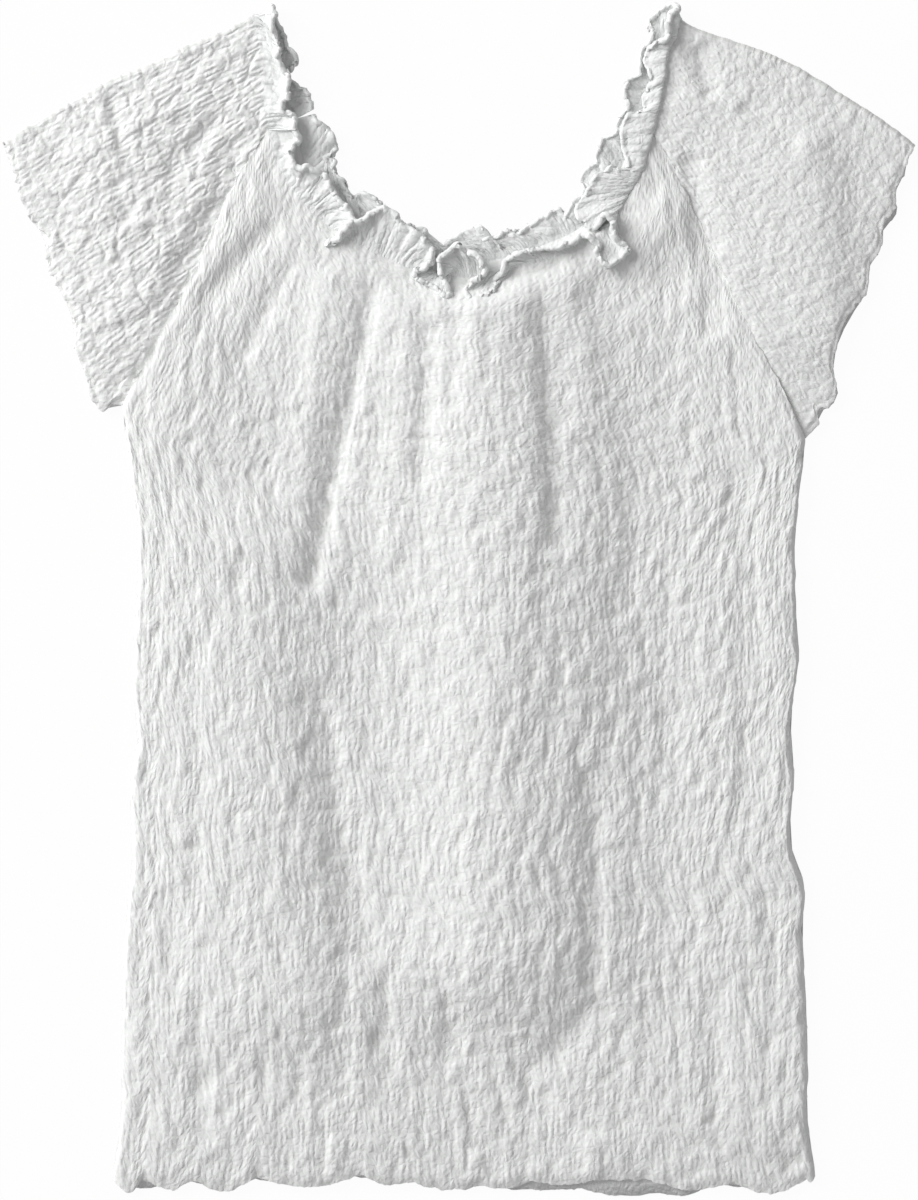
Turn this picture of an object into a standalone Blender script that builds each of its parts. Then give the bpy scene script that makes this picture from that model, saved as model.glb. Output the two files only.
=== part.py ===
"""A pull-on top in crinkled cloth with raglan cap sleeves and a frilled scoop neck, laid flat.

It lies on its back on z = 0 with the neck towards +Y and the front upwards. Each panel is one
wall of crinkled cloth: the back lies on the surface, the front lies on the back, and each
sleeve is one wall folded along its shoulder line. The frill round the neck is sewn on in four
stretches. Sizes here are in millimetres, and the meshes are in metres.
"""

import math

import bpy
import numpy as np

METRES = 0.001

# Driving dimensions
CLOTH = 2.2  # bulk of the crinkled cloth
GAP = 0.3  # between two pieces, at a seam or where one lies on the other
FRILL_CLOTH = 1.2
FRILL_ROLL = 6.0  # how far it runs level towards the neck before it turns
FRILL_TURN = 0.6  # part of the way to its free edge where it is fullest
SEAM_SHARE = 0.22  # a panel keeps this far from its seam line
FRILL_SHARE = 0.5  # and the frill this far, because it leans where it leaves the seam
FOLD_RADIUS = CLOTH + GAP / 2  # outside of a sleeve's shoulder fold
FRONT_BASE = CLOTH + GAP  # underside of the front where it lies on the back
MOST_LIFT = 3.6  # the highest a fold of the front stands off the back
FOLD_END = 0.2  # share of a fold's length, at each end, over which it sinks
FOLD_END_DROP = 0.4  # share of its height that it loses there

NECK_STATIONS = 41  # points along the neck and the hem of the front
BACK_STATIONS = 37
RAGLAN_STATIONS = 9  # points along each raglan seam
SIDE_STATIONS = 14  # points down each side seam of the front
BACK_SIDE_STATIONS = 10
CUFF_STATIONS = 16  # points from the underarm to the shoulder, in each layer of a sleeve
FOLD_ANGLES = (90, 45, 0, -45, -90)  # round the shoulder fold, degrees
CUFF_TURN = 4  # power of the run along a cuff with which it turns in to the shoulder fold
FINE_STEPS = 40  # points for each row of a table, while a smooth curve is worked out
SHARP_ANGLE = 50  # edges sharper than this are shaded as edges, degrees

# Outlines: a row for each turn of the edge, x and y. Left and right are as seen from the front.
NECK_FRONT = (
    (-101.5, 248.6), (-97.3, 232.7), (-88.8, 216.8), (-75.0, 202.5), (-58.0, 190.3),
    (-39.5, 180.7), (-20.9, 173.8), (-2.4, 170.7), (16.2, 171.7), (34.7, 176.4),
    (53.3, 182.3), (69.2, 191.5), (81.5, 203.5), (93.5, 222.1), (101.5, 248.6),
)
NECK_BACK = (
    (-89.8, 253.9), (-84.5, 239.0), (-75.0, 223.1), (-62.3, 208.3), (-44.3, 195.6),
    (-25.2, 185.0), (-5.0, 178.6), (21.5, 180.7), (45.3, 188.2), (63.9, 197.2),
    (76.6, 211.5), (86.1, 230.0), (96.7, 253.9),
)
SIDE_LEFT = (
    (-179.0, 102.8), (-175.2, 74.0), (-171.6, 50.0), (-170.4, 20.0), (-172.0, -10.0),
    (-172.8, -45.0), (-171.6, -81.0), (-174.0, -92.0), (-173.6, -138.0), (-176.4, -165.0),
    (-179.0, -218.0), (-180.0, -277.0), (-183.6, -308.0),
)
SIDE_RIGHT = (
    (183.6, 85.3), (180.5, 58.5), (178.6, 43.0), (178.3, -3.0), (179.6, -34.0),
    (175.8, -61.0), (177.3, -90.0), (177.6, -137.0), (181.8, -147.0), (181.8, -176.0),
    (184.6, -234.0), (184.8, -277.0), (188.4, -306.0),
)
# Hem: a row for each scallop, from where its left end is, how high that notch is, and how low
# the scallop reaches
HEM_FRONT = (
    (-183.6, -308.0, -314.6), (-167.6, -306.6, -313.0), (-141.2, -308.0, -313.8),
    (-108.0, -306.0, -311.6), (-52.2, -305.0, -310.6), (-25.7, -308.8, -313.2),
    (12.0, -311.0, -312.8), (38.0, -309.0, -311.0), (71.0, -307.6, -308.4),
    (101.0, -308.0, -313.4), (144.4, -309.4, -315.4), (183.6, -308.0, -309.6),
)
HEM_BACK = (
    (-183.6, -308.0, -313.0), (-150.0, -306.0, -311.0), (-112.0, -306.0, -311.0),
    (-60.0, -304.6, -309.0), (-25.0, -307.0, -312.0), (10.0, -312.0, -316.0),
    (65.5, -313.2, -316.75), (108.0, -314.8, -316.5), (134.0, -309.0, -312.0),
    (160.0, -308.0, -313.4), (183.0, -307.0, -308.6),
)
HEM_RIGHT_END = (188.4, -306.0)
NECK_MIDDLE = (0.0, 290.0)  # a place in the neck opening

# Sleeves: raglan seams run from the neck to the underarm, in front and behind, shoulder folds from
# the neck out, neck edges from the raglan seam to the shoulder, and cuffs from the underarm up
SLEEVES = {
    "left": {
        "raglan": (
            (-101.5, 248.6), (-111.0, 234.8), (-124.3, 209.9), (-137.5, 180.7), (-153.4, 148.9),
            (-169.3, 119.8), (-179.0, 102.8),
        ),
        "raglan_back": (
            (-89.8, 253.9), (-112.0, 222.0), (-137.5, 180.7), (-160.0, 137.0), (-179.0, 102.8),
        ),
        "shoulder": (
            (-111.0, 309.6), (-128.5, 299.6), (-143.9, 294.0), (-161.4, 285.0), (-187.4, 274.6),
            (-201.7, 266.4), (-220.2, 255.9), (-241.9, 243.2),
        ),
        "neck": ((-101.5, 248.6), (-104.1, 264.5), (-104.9, 285.7), (-111.0, 309.6)),
        "neck_back": ((-89.8, 253.9), (-95.4, 271.0), (-101.6, 291.0), (-111.0, 309.6)),
        "cuff": (
            (-179.0, 102.8), (-183.6, 103.6), (-189.2, 99.8), (-194.2, 104.4), (-198.5, 121.4),
            (-204.2, 134.6), (-203.6, 146.3), (-211.0, 160.6), (-214.4, 168.0), (-219.4, 182.4),
            (-219.0, 193.4), (-228.4, 203.6), (-234.2, 216.2), (-237.4, 229.0), (-241.9, 243.2),
        ),
    },
    "right": {
        "raglan": (
            (101.5, 248.6), (110.5, 233.7), (123.2, 208.8), (135.9, 180.7), (150.8, 148.9),
            (167.0, 118.4), (183.6, 85.3),
        ),
        "raglan_back": (
            (96.7, 253.9), (114.0, 222.0), (136.0, 180.7), (160.0, 131.0), (183.6, 85.3),
        ),
        "shoulder": (
            (114.6, 308.6), (126.4, 302.4), (146.5, 295.5), (171.5, 286.0), (186.8, 277.6),
            (202.2, 268.0), (219.7, 257.0), (241.9, 241.2),
        ),
        "neck": ((101.5, 248.6), (105.5, 268.0), (108.6, 290.0), (114.6, 308.6)),
        "neck_back": ((96.7, 253.9), (101.6, 271.0), (106.0, 291.0), (114.6, 308.6)),
        "cuff": (
            (183.6, 85.3), (190.4, 93.0), (189.8, 99.6), (197.0, 102.6), (200.4, 112.4),
            (198.2, 119.4), (200.8, 135.7), (206.0, 149.5), (217.0, 164.6), (218.4, 178.0),
            (223.4, 184.6), (225.8, 200.0), (231.4, 207.0), (232.0, 217.2), (236.2, 225.4),
            (241.9, 241.2),
        ),
    },
}

# Folds of the upper layer: a row for each, its top and bottom ends, how far it spreads to the
# left and to the right of its crest, and how far it stands up
FOLDS = (
    # x_top, y_top, x_bottom, y_bottom, left, right, rise
    (17.0, 172.0, 26.0, -222.0, 34.0, 19.0, 3.4),
    (-29.0, 172.0, -33.0, -6.0, 13.0, 11.0, 1.9),
    (-84.0, 190.0, -90.0, 70.0, 9.0, 12.0, 1.5),
    (-101.0, 222.0, -150.0, 146.0, 11.0, 10.0, 1.9),
    (-146.0, 226.0, -176.0, 158.0, 12.0, 12.0, 1.2),
    (112.0, 168.0, 134.0, -210.0, 26.0, 24.0, 2.2),
    (143.0, 236.0, 170.0, 128.0, 15.0, 20.0, 1.9),
    (116.0, 268.0, 190.0, 236.0, 9.0, 12.0, 1.3),
    (-130.0, 270.0, -200.0, 236.0, 12.0, 12.0, 1.0),
    (-84.0, -20.0, -92.0, -268.0, 26.0, 22.0, 1.4),
    (74.0, -276.0, 76.0, -314.0, 12.0, 15.0, 1.9),
)

# Free edge of the frill: a row for each turn of its lobes, x, y and height above the surface
FRILL_FRONT = (
    (-86.6, 248.0, 8.6), (-87.0, 233.0, 6.2), (-77.0, 227.4, 8.8), (-69.8, 220.0, 7.2),
    (-64.6, 211.0, 6.6), (-56.6, 202.4, 8.6), (-45.0, 205.0, 10.2), (-32.6, 199.6, 9.2),
    (-20.6, 190.4, 8.4), (-14.6, 180.2, 10.6), (-4.8, 186.0, 11.6), (5.6, 183.0, 12.0),
    (13.0, 173.6, 12.2), (17.0, 162.8, 10.0), (29.6, 164.0, 9.6), (42.4, 172.6, 11.4),
    (56.0, 175.0, 11.4), (71.0, 179.6, 11.8), (85.0, 189.4, 11.4), (82.6, 203.0, 12.6),
    (79.0, 214.6, 11.4), (83.4, 227.0, 9.4), (86.8, 240.0, 11.4), (88.0, 249.4, 10.8),
)
FRILL_BACK = (
    (-76.8, 257.0, 1.5), (-66.0, 239.0, 1.2), (-69.6, 231.0, 1.5), (-60.2, 219.0, 1.1),
    (-49.6, 215.0, 1.6), (-39.0, 207.0, 1.1), (-24.6, 197.4, 1.5), (-7.2, 190.6, 1.1),
    (7.0, 195.4, 1.6), (14.0, 191.0, 1.1), (30.0, 196.0, 1.6), (46.4, 201.8, 1.1),
    (56.0, 207.4, 1.5), (63.9, 219.0, 1.2), (70.8, 230.0, 1.6), (75.0, 243.0, 1.1),
    (84.4, 252.6, 1.5),
)
# On the sleeves it runs from the front raglan seam over the shoulder fold to the back one
FRILL_SLEEVES = {
    "left": (
        (-86.8, 250.4, 8.6), (-94.0, 259.6, 5.6), (-88.8, 266.6, 8.0), (-90.9, 277.0, 6.4),
        (-94.6, 292.0, 8.2), (-97.6, 302.0, 6.0), (-98.6, 310.6, 4.8), (-101.4, 314.8, 2.4),
        (-96.0, 305.0, 1.2), (-87.4, 284.0, 1.6), (-87.2, 273.5, 1.1), (-78.2, 259.6, 1.5),
    ),
    "right": (
        (88.2, 251.6, 10.8), (93.6, 258.6, 8.2), (93.0, 266.0, 7.2), (97.0, 276.0, 9.2),
        (98.6, 290.0, 8.0), (104.0, 302.0, 9.4), (109.4, 312.4, 5.6), (110.6, 317.0, 2.4),
        (101.4, 302.0, 1.2), (97.0, 288.0, 1.6), (88.6, 268.0, 1.1), (85.6, 254.6, 1.5),
    ),
}

# Base colour, roughness and metallic value of each piece
WHITE_CRINKLE = (0.83, 0.84, 0.83, 1.0)
WHITE_FRILL = (0.87, 0.88, 0.87, 1.0)
CLOTH_ROUGHNESS = 0.9
FRILL_ROUGHNESS = 0.85


def clear_scene():
    """Remove whatever objects the file holds."""
    for thing in list(bpy.data.objects):
        bpy.data.objects.remove(thing, do_unlink=True)


def along(points):
    """Distance of each point along the line, from 0 to 1."""
    steps = np.linalg.norm(np.diff(points, axis=0), axis=1)
    distance = np.concatenate([[0.0], np.cumsum(steps)])
    return distance / distance[-1]


def smooth_line(rows, count):
    """Count points, evenly spaced, on a smooth curve through the rows."""
    points = np.array(rows, dtype=float)
    station = along(points)
    slope = np.gradient(points, station, axis=0)
    fine = np.linspace(0.0, 1.0, FINE_STEPS * len(points))
    left = np.clip(np.searchsorted(station, fine, side="right") - 1, 0, len(points) - 2)
    width = (station[left + 1] - station[left])[:, None]
    part = ((fine - station[left])[:, None]) / width
    curve = (
        (2 * part**3 - 3 * part**2 + 1) * points[left]
        + (part**3 - 2 * part**2 + part) * width * slope[left]
        + (3 * part**2 - 2 * part**3) * points[left + 1]
        + (part**3 - part**2) * width * slope[left + 1]
    )
    return resample(curve, np.linspace(0.0, 1.0, count))


def resample(points, parts):
    """Points at the given parts, from 0 to 1, of the length of a line."""
    station = along(points)
    return np.stack([np.interp(parts, station, column) for column in points.T], axis=1)


def scalloped_hem(rows, end, count):
    """Hem line: between two notches it drops as half a sine wave to the scallop's depth."""
    notches = np.array([row[:2] for row in rows] + [end])
    depths = np.array([row[2] for row in rows])
    x = np.linspace(notches[0, 0], notches[-1, 0], count)
    base = np.interp(x, notches[:, 0], notches[:, 1])
    scallop = np.clip(np.searchsorted(notches[:, 0], x, side="right") - 1, 0, len(rows) - 1)
    part = (x - notches[scallop, 0]) / (notches[scallop + 1, 0] - notches[scallop, 0])
    middle = (notches[scallop, 1] + notches[scallop + 1, 1]) / 2
    y = base + (depths[scallop] - middle) * np.sin(math.pi * part)
    return np.stack([x, y], axis=1)


def patch(top, bottom, left, right):
    """Grid between four edge lines that meet at the corners (a Coons patch), row by row."""
    across = along(top)[None, :, None]
    down = ((along(left) + along(right)) / 2)[:, None, None]
    rows = (1 - down) * top[None] + down * bottom[None]
    columns = (1 - across) * left[:, None] + across * right[:, None]
    corners = (
        (1 - down) * (1 - across) * top[0] + (1 - down) * across * top[-1]
        + down * (1 - across) * bottom[0] + down * across * bottom[-1]
    )
    return rows + columns - corners


def drawn_in(grid, edges):
    """The grid with the named edges moved inwards, clear of their seam lines."""
    drawn = grid.copy()
    places = {
        "first_row": (np.s_[0], np.s_[1]),
        "first_column": (np.s_[:, 0], np.s_[:, 1]),
        "last_column": (np.s_[:, -1], np.s_[:, -2]),
    }
    for name in edges:
        edge, inner = places[name]
        step = drawn[inner] - drawn[edge]
        drawn[edge] += step * SEAM_SHARE / np.linalg.norm(step, axis=-1, keepdims=True)
    return drawn


def fold_lift(plan):
    """How far the folds lift the upper layer at each plan point: bell curves along their crests."""
    lift = np.zeros(plan.shape[:-1])
    for x_top, y_top, x_bottom, y_bottom, left, right, rise in FOLDS:
        top = np.array([x_top, y_top])
        run = np.array([x_bottom, y_bottom]) - top
        length = np.linalg.norm(run)
        part = (plan - top) @ run / length**2
        side = (plan - top) @ np.array([-run[1], run[0]]) / length
        spread = np.where(side > 0, right, left)
        past = np.maximum(np.abs(part - 0.5) - 0.5, 0.0) * length / (left + right)
        near_end = np.clip((np.abs(part - 0.5) - 0.5) / FOLD_END + 1, 0.0, 1.0)
        crest = rise * (1 - FOLD_END_DROP * near_end)
        lift += crest * np.exp(-((side / spread) ** 2) - (2 * past) ** 2)
    return np.minimum(lift, MOST_LIFT)


def with_height(plan, height):
    """Plan points with a height each."""
    return np.concatenate([plan, np.broadcast_to(height, plan.shape[:-1])[..., None]], axis=-1)


def make_material(name, colour, roughness):
    """A plain matt cloth material."""
    material = bpy.data.materials.new(name)
    material.use_nodes = True
    shader = material.node_tree.nodes["Principled BSDF"]
    shader.inputs["Base Color"].default_value = colour
    shader.inputs["Roughness"].default_value = roughness
    shader.inputs["Metallic"].default_value = 0.0
    return material


def closed_wall(name, outer, inner, colour, roughness):
    """One object: a wall between two grids of points, closed round its four edges."""
    rows, columns = outer.shape[:2]
    points = np.concatenate([outer.reshape(-1, 3), inner.reshape(-1, 3)]) * METRES
    index = np.arange(rows * columns).reshape(rows, columns)
    under = index + rows * columns
    sheet = np.stack([index[:-1, :-1], index[1:, :-1], index[1:, 1:], index[:-1, 1:]], axis=-1)
    faces = [sheet.reshape(-1, 4), sheet.reshape(-1, 4)[:, ::-1] + rows * columns]
    rim = np.concatenate([index[0, :-1], index[:-1, -1], index[-1, :0:-1], index[:0:-1, 0]])
    below = np.concatenate([under[0, :-1], under[:-1, -1], under[-1, :0:-1], under[:0:-1, 0]])
    faces.append(np.stack([rim, np.roll(rim, -1), np.roll(below, -1), below], axis=-1))
    faces = np.concatenate(faces)
    corners = points[faces]
    volume = np.einsum("ij,ij->i", corners[:, 0], np.cross(corners[:, 1], corners[:, 2])).sum()
    volume += np.einsum("ij,ij->i", corners[:, 0], np.cross(corners[:, 2], corners[:, 3])).sum()
    if volume < 0:
        faces = faces[:, ::-1]
    mesh = bpy.data.meshes.new(name)
    mesh.from_pydata(points.tolist(), [], faces.tolist())
    mesh.materials.append(make_material(name, colour, roughness))
    mesh.shade_smooth()
    mesh.set_sharp_from_angle(angle=math.radians(SHARP_ANGLE))
    piece = bpy.data.objects.new(name, mesh)
    bpy.context.scene.collection.objects.link(piece)
    return piece


def panel_side(raglan, side, stations):
    """Edge of a body panel from the neck, down the raglan seam and down the side seam."""
    seam = smooth_line(raglan, RAGLAN_STATIONS)
    return np.concatenate([seam, smooth_line(side, stations + 1)[1:]])


def build_front():
    """Front panel: it lies on the back and rises in the folds."""
    neck = smooth_line(NECK_FRONT, NECK_STATIONS)
    hem = scalloped_hem(HEM_FRONT, HEM_RIGHT_END, NECK_STATIONS)
    left = panel_side(SLEEVES["left"]["raglan"], SIDE_LEFT, SIDE_STATIONS)
    right = panel_side(SLEEVES["right"]["raglan"], SIDE_RIGHT, SIDE_STATIONS)
    plan = drawn_in(patch(neck, hem, left, right), ("first_row", "first_column", "last_column"))
    lift = fold_lift(plan)
    top = with_height(plan, FRONT_BASE + CLOTH + lift)
    underside = with_height(plan, FRONT_BASE + lift)
    return closed_wall("front", top, underside, WHITE_CRINKLE, CLOTH_ROUGHNESS)


def build_back():
    """Back panel: flat on the surface."""
    neck = smooth_line(NECK_BACK, BACK_STATIONS)
    hem = scalloped_hem(HEM_BACK, HEM_RIGHT_END, BACK_STATIONS)
    left = panel_side(SLEEVES["left"]["raglan_back"], SIDE_LEFT, BACK_SIDE_STATIONS)
    right = panel_side(SLEEVES["right"]["raglan_back"], SIDE_RIGHT, BACK_SIDE_STATIONS)
    plan = drawn_in(patch(neck, hem, left, right), ("first_row", "first_column", "last_column"))
    top, underside = with_height(plan, CLOTH), with_height(plan, 0.0)
    return closed_wall("back", top, underside, WHITE_CRINKLE, CLOTH_ROUGHNESS)


def inward(line, inside):
    """Unit vectors square to a line, on the side where the point lies."""
    run = np.gradient(line, axis=0)
    square = np.stack([-run[:, 1], run[:, 0]], axis=1)
    square /= np.linalg.norm(square, axis=1, keepdims=True)
    facing = np.sign(((np.array(inside) - line) * square).sum(axis=1, keepdims=True))
    return square * facing


def sleeve_layer(raglan, neck, cuff, fold):
    """Plan grid of one layer of a sleeve: rows from the neck to the cuff, raglan seam to fold."""
    seam = smooth_line(raglan, RAGLAN_STATIONS)
    neck_edge = smooth_line(neck, CUFF_STATIONS)
    neck_edge = neck_edge + along(neck_edge)[:, None] * (fold[0] - neck_edge[-1])
    cuff_edge = smooth_line(cuff, CUFF_STATIONS)
    cuff_edge = cuff_edge + along(cuff_edge)[:, None] ** CUFF_TURN * (fold[-1] - cuff_edge[-1])
    return drawn_in(patch(neck_edge, cuff_edge, seam, fold), ("first_row", "first_column"))


def shoulder_line(cut):
    """A sleeve's shoulder fold, and unit vectors from it into the sleeve."""
    edge = smooth_line(cut["shoulder"], RAGLAN_STATIONS)
    middle_of_raglan = cut["raglan"][len(cut["raglan"]) // 2]
    return edge, inward(edge, middle_of_raglan)


def build_sleeve(name, cut):
    """A sleeve: the front layer, round the shoulder fold, and the back layer, in one wall."""
    edge, inside = shoulder_line(cut)
    fold = edge + inside * FOLD_RADIUS
    front = sleeve_layer(cut["raglan"], cut["neck"], cut["cuff"], fold)[:, :-1]
    back = sleeve_layer(cut["raglan_back"], cut["neck_back"], cut["cuff"], fold)[:, -2::-1]
    lift = fold_lift(front)
    outer = [with_height(front, FRONT_BASE + CLOTH + lift)]
    inner = [with_height(front, FRONT_BASE + lift)]
    middle = drawn_in(fold[:, None], ("first_row",))
    for angle in FOLD_ANGLES:
        out, up = math.cos(math.radians(angle)), math.sin(math.radians(angle))
        for wall, radius in ((outer, FOLD_RADIUS), (inner, GAP / 2)):
            turn = middle - inside[:, None] * out * radius
            wall.append(with_height(turn, FOLD_RADIUS + up * radius))
    outer.append(with_height(back, 0.0))
    inner.append(with_height(back, CLOTH))
    outer, inner = np.concatenate(outer, axis=1), np.concatenate(inner, axis=1)
    return closed_wall(name, outer, inner, WHITE_CRINKLE, CLOTH_ROUGHNESS)


def thickened(middle, thickness):
    """The two faces of a wall about a middle surface: half the thickness to each side of it."""
    down = np.gradient(middle, axis=0)
    across = np.gradient(middle, axis=1)
    square = np.cross(down, across)
    square /= np.linalg.norm(square, axis=-1, keepdims=True)
    return middle + square * thickness / 2, middle - square * thickness / 2


def frill_grid(base, edge, neckwards, rise, steps):
    """Middle surface of a frill: level from its seam, then up, and over to its free edge."""
    part = np.linspace(0.0, 1.0, steps + 1)[:, None, None]
    front_share = np.clip((base[:, 2:] - CLOTH / 2) / FRONT_BASE, 0.0, 1.0)
    first = base + neckwards * FRILL_ROLL
    second = base + (edge - base) * FRILL_TURN + np.array([0.0, 0.0, rise]) * front_share
    return (
        (1 - part) ** 3 * base + 3 * part * (1 - part) ** 2 * first
        + 3 * part**2 * (1 - part) * second + part**3 * edge
    )


def gathered(base, edge, nearness):
    """Points of the seam line, one for each point of the edge.

    Nearness 0 spreads them evenly, and 1 takes the nearest to each point of the edge.
    """
    places = np.linspace(0.0, 1.0, FINE_STEPS * len(edge))
    distance = np.linalg.norm(resample(base, places)[None, :, :2] - edge[:, None, :2], axis=2)
    nearest = places[np.maximum.accumulate(distance.argmin(axis=1))]
    even = np.linspace(0.0, 1.0, len(edge))
    parts = nearness * nearest + (1 - nearness) * even
    parts[0], parts[-1] = 0.0, 1.0
    return resample(base, parts)


def build_frill(name, base, edge_rows, lean=None, rise=0.0, nearness=0.5, steps=2, fineness=2):
    """A stretch of frill from a seam line, given with its heights, to its free edge.

    It leaves the seam square to it, or along lean, and swells by rise on the front. Steps is the
    number of facets across it, and fineness the number along it for each turn of its edge.
    """
    edge = smooth_line(edge_rows, fineness * len(edge_rows))
    base = gathered(base, edge, nearness)
    neckwards = with_height(inward(base[:, :2], NECK_MIDDLE), 0.0)
    if lean is not None:
        neckwards = np.array([*lean, 0.0])
    base = base + neckwards * FRILL_SHARE
    grid = frill_grid(base, edge, neckwards, rise, steps)
    grid = drawn_in(grid, ("first_column", "last_column"))
    outer, inner = thickened(grid, FRILL_CLOTH)
    return closed_wall(name, outer, inner, WHITE_FRILL, FRILL_ROUGHNESS)


def sleeve_seam_line(cut):
    """Middle of a sleeve's neck edge: along the front layer, round the fold, along the back."""
    edge, inside = shoulder_line(cut)
    middle = edge[0] + inside[0] * FOLD_RADIUS
    radius = (FOLD_RADIUS + GAP / 2) / 2
    front, back = smooth_line(cut["neck"], CUFF_STATIONS), smooth_line(cut["neck_back"], CUFF_STATIONS)
    front = front + along(front)[:, None] * (middle - front[-1])
    back = back + along(back)[:, None] * (middle - back[-1])
    lines = [with_height(front, FRONT_BASE + CLOTH / 2 + fold_lift(front))]
    for angle in FOLD_ANGLES[1:-1]:
        out, up = math.cos(math.radians(angle)), math.sin(math.radians(angle))
        turn = middle - inside[0] * out * radius
        lines.append(with_height(turn[None], FOLD_RADIUS + up * radius))
    lines.append(with_height(back[::-1], CLOTH / 2))
    return np.concatenate(lines)


def build_sleeve_frill(side):
    """Frill of one sleeve: it leaves the neck edge along the line of the shoulder."""
    edge, _ = shoulder_line(SLEEVES[side])
    lean = (edge[0] - edge[1]) / np.linalg.norm(edge[0] - edge[1])
    seam = sleeve_seam_line(SLEEVES[side])
    name = f"frill_sleeve_{side}"
    rows = FRILL_SLEEVES[side]
    return build_frill(name, seam, rows, lean, rise=2.5, nearness=0.0, steps=3, fineness=3)


def main():
    """Make every piece."""
    clear_scene()
    build_back()
    build_front()
    neck = smooth_line(NECK_FRONT, NECK_STATIONS)
    seam = with_height(neck, FRONT_BASE + CLOTH / 2 + fold_lift(neck))
    build_frill("frill_front", seam, FRILL_FRONT, rise=7.0, steps=5, fineness=3)
    build_frill("frill_back", with_height(smooth_line(NECK_BACK, BACK_STATIONS), CLOTH / 2), FRILL_BACK)
    for side, cut in SLEEVES.items():
        build_sleeve(f"sleeve_{side}", cut)
        build_sleeve_frill(side)


main()
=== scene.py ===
import math

import bpy
import numpy as np
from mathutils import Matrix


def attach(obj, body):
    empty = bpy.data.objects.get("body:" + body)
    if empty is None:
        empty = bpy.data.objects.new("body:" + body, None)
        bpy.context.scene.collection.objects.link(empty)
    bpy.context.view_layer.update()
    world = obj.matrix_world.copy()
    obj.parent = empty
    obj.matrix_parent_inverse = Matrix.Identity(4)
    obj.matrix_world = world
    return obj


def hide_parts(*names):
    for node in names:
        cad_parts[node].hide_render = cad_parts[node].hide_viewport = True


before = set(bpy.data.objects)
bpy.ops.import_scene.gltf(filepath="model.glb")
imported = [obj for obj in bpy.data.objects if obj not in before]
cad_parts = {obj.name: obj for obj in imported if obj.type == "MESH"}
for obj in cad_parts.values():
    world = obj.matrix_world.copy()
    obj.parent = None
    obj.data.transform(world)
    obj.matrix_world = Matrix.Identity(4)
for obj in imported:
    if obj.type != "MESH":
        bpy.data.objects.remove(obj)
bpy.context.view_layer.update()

print("frame loaded:", len(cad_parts), "nodes")

# A pull-on top in crinkled cloth, laid flat with its neck towards +Y and its front upwards.
# Every size is in millimetres, and addPiece turns the finished points into metres.
metres = 0.001

# Outlines, a row for each turn of the edge. Left and right are as seen from the front.
neckline = {
    "front": (
        (-101.5, 248.6), (-97.3, 232.7), (-88.8, 216.8), (-75.0, 202.5), (-58.0, 190.3),
        (-39.5, 180.7), (-20.9, 173.8), (-2.4, 170.7), (16.2, 171.7), (34.7, 176.4),
        (53.3, 182.3), (69.2, 191.5), (81.5, 203.5), (93.5, 222.1), (101.5, 248.6),
    ),
    "back": (
        (-89.8, 253.9), (-84.5, 239.0), (-75.0, 223.1), (-62.3, 208.3), (-44.3, 195.6),
        (-25.2, 185.0), (-5.0, 178.6), (21.5, 180.7), (45.3, 188.2), (63.9, 197.2),
        (76.6, 211.5), (86.1, 230.0), (96.7, 253.9),
    ),
    "middle": (0.0, 290.0),  # a place in the opening
}
sideSeams = {
    "left": (
        (-179.0, 102.8), (-175.2, 74.0), (-171.6, 50.0), (-170.4, 20.0), (-172.0, -10.0),
        (-172.8, -45.0), (-171.6, -81.0), (-174.0, -92.0), (-173.6, -138.0), (-176.4, -165.0),
        (-179.0, -218.0), (-180.0, -277.0), (-183.6, -308.0),
    ),
    "right": (
        (183.6, 85.3), (180.5, 58.5), (178.6, 43.0), (178.3, -3.0), (179.6, -34.0),
        (175.8, -61.0), (177.3, -90.0), (177.6, -137.0), (181.8, -147.0), (181.8, -176.0),
        (184.6, -234.0), (184.8, -277.0), (188.4, -306.0),
    ),
}
# A row for each scallop of the hem: its left end, how high that notch is, how low it reaches
hemScallops = {
    "front": (
        (-183.6, -308.0, -314.6), (-167.6, -306.6, -313.0), (-141.2, -308.0, -313.8),
        (-108.0, -306.0, -311.6), (-52.2, -305.0, -310.6), (-25.7, -308.8, -313.2),
        (12.0, -311.0, -312.8), (38.0, -309.0, -311.0), (71.0, -307.6, -308.4),
        (101.0, -308.0, -313.4), (144.4, -309.4, -315.4), (183.6, -308.0, -309.6),
    ),
    "back": (
        (-183.6, -308.0, -313.0), (-150.0, -306.0, -311.0), (-112.0, -306.0, -311.0),
        (-60.0, -304.6, -309.0), (-25.0, -307.0, -312.0), (10.0, -311.0, -313.4),
        (65.5, -313.2, -316.75), (108.0, -314.8, -316.5), (134.0, -309.0, -312.0),
        (160.0, -308.0, -313.4), (183.0, -307.0, -308.6),
    ),
    "rightEnd": (188.4, -306.0),
    "fray": 0.9,  # how far the small turns between the scallops reach
}
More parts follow.
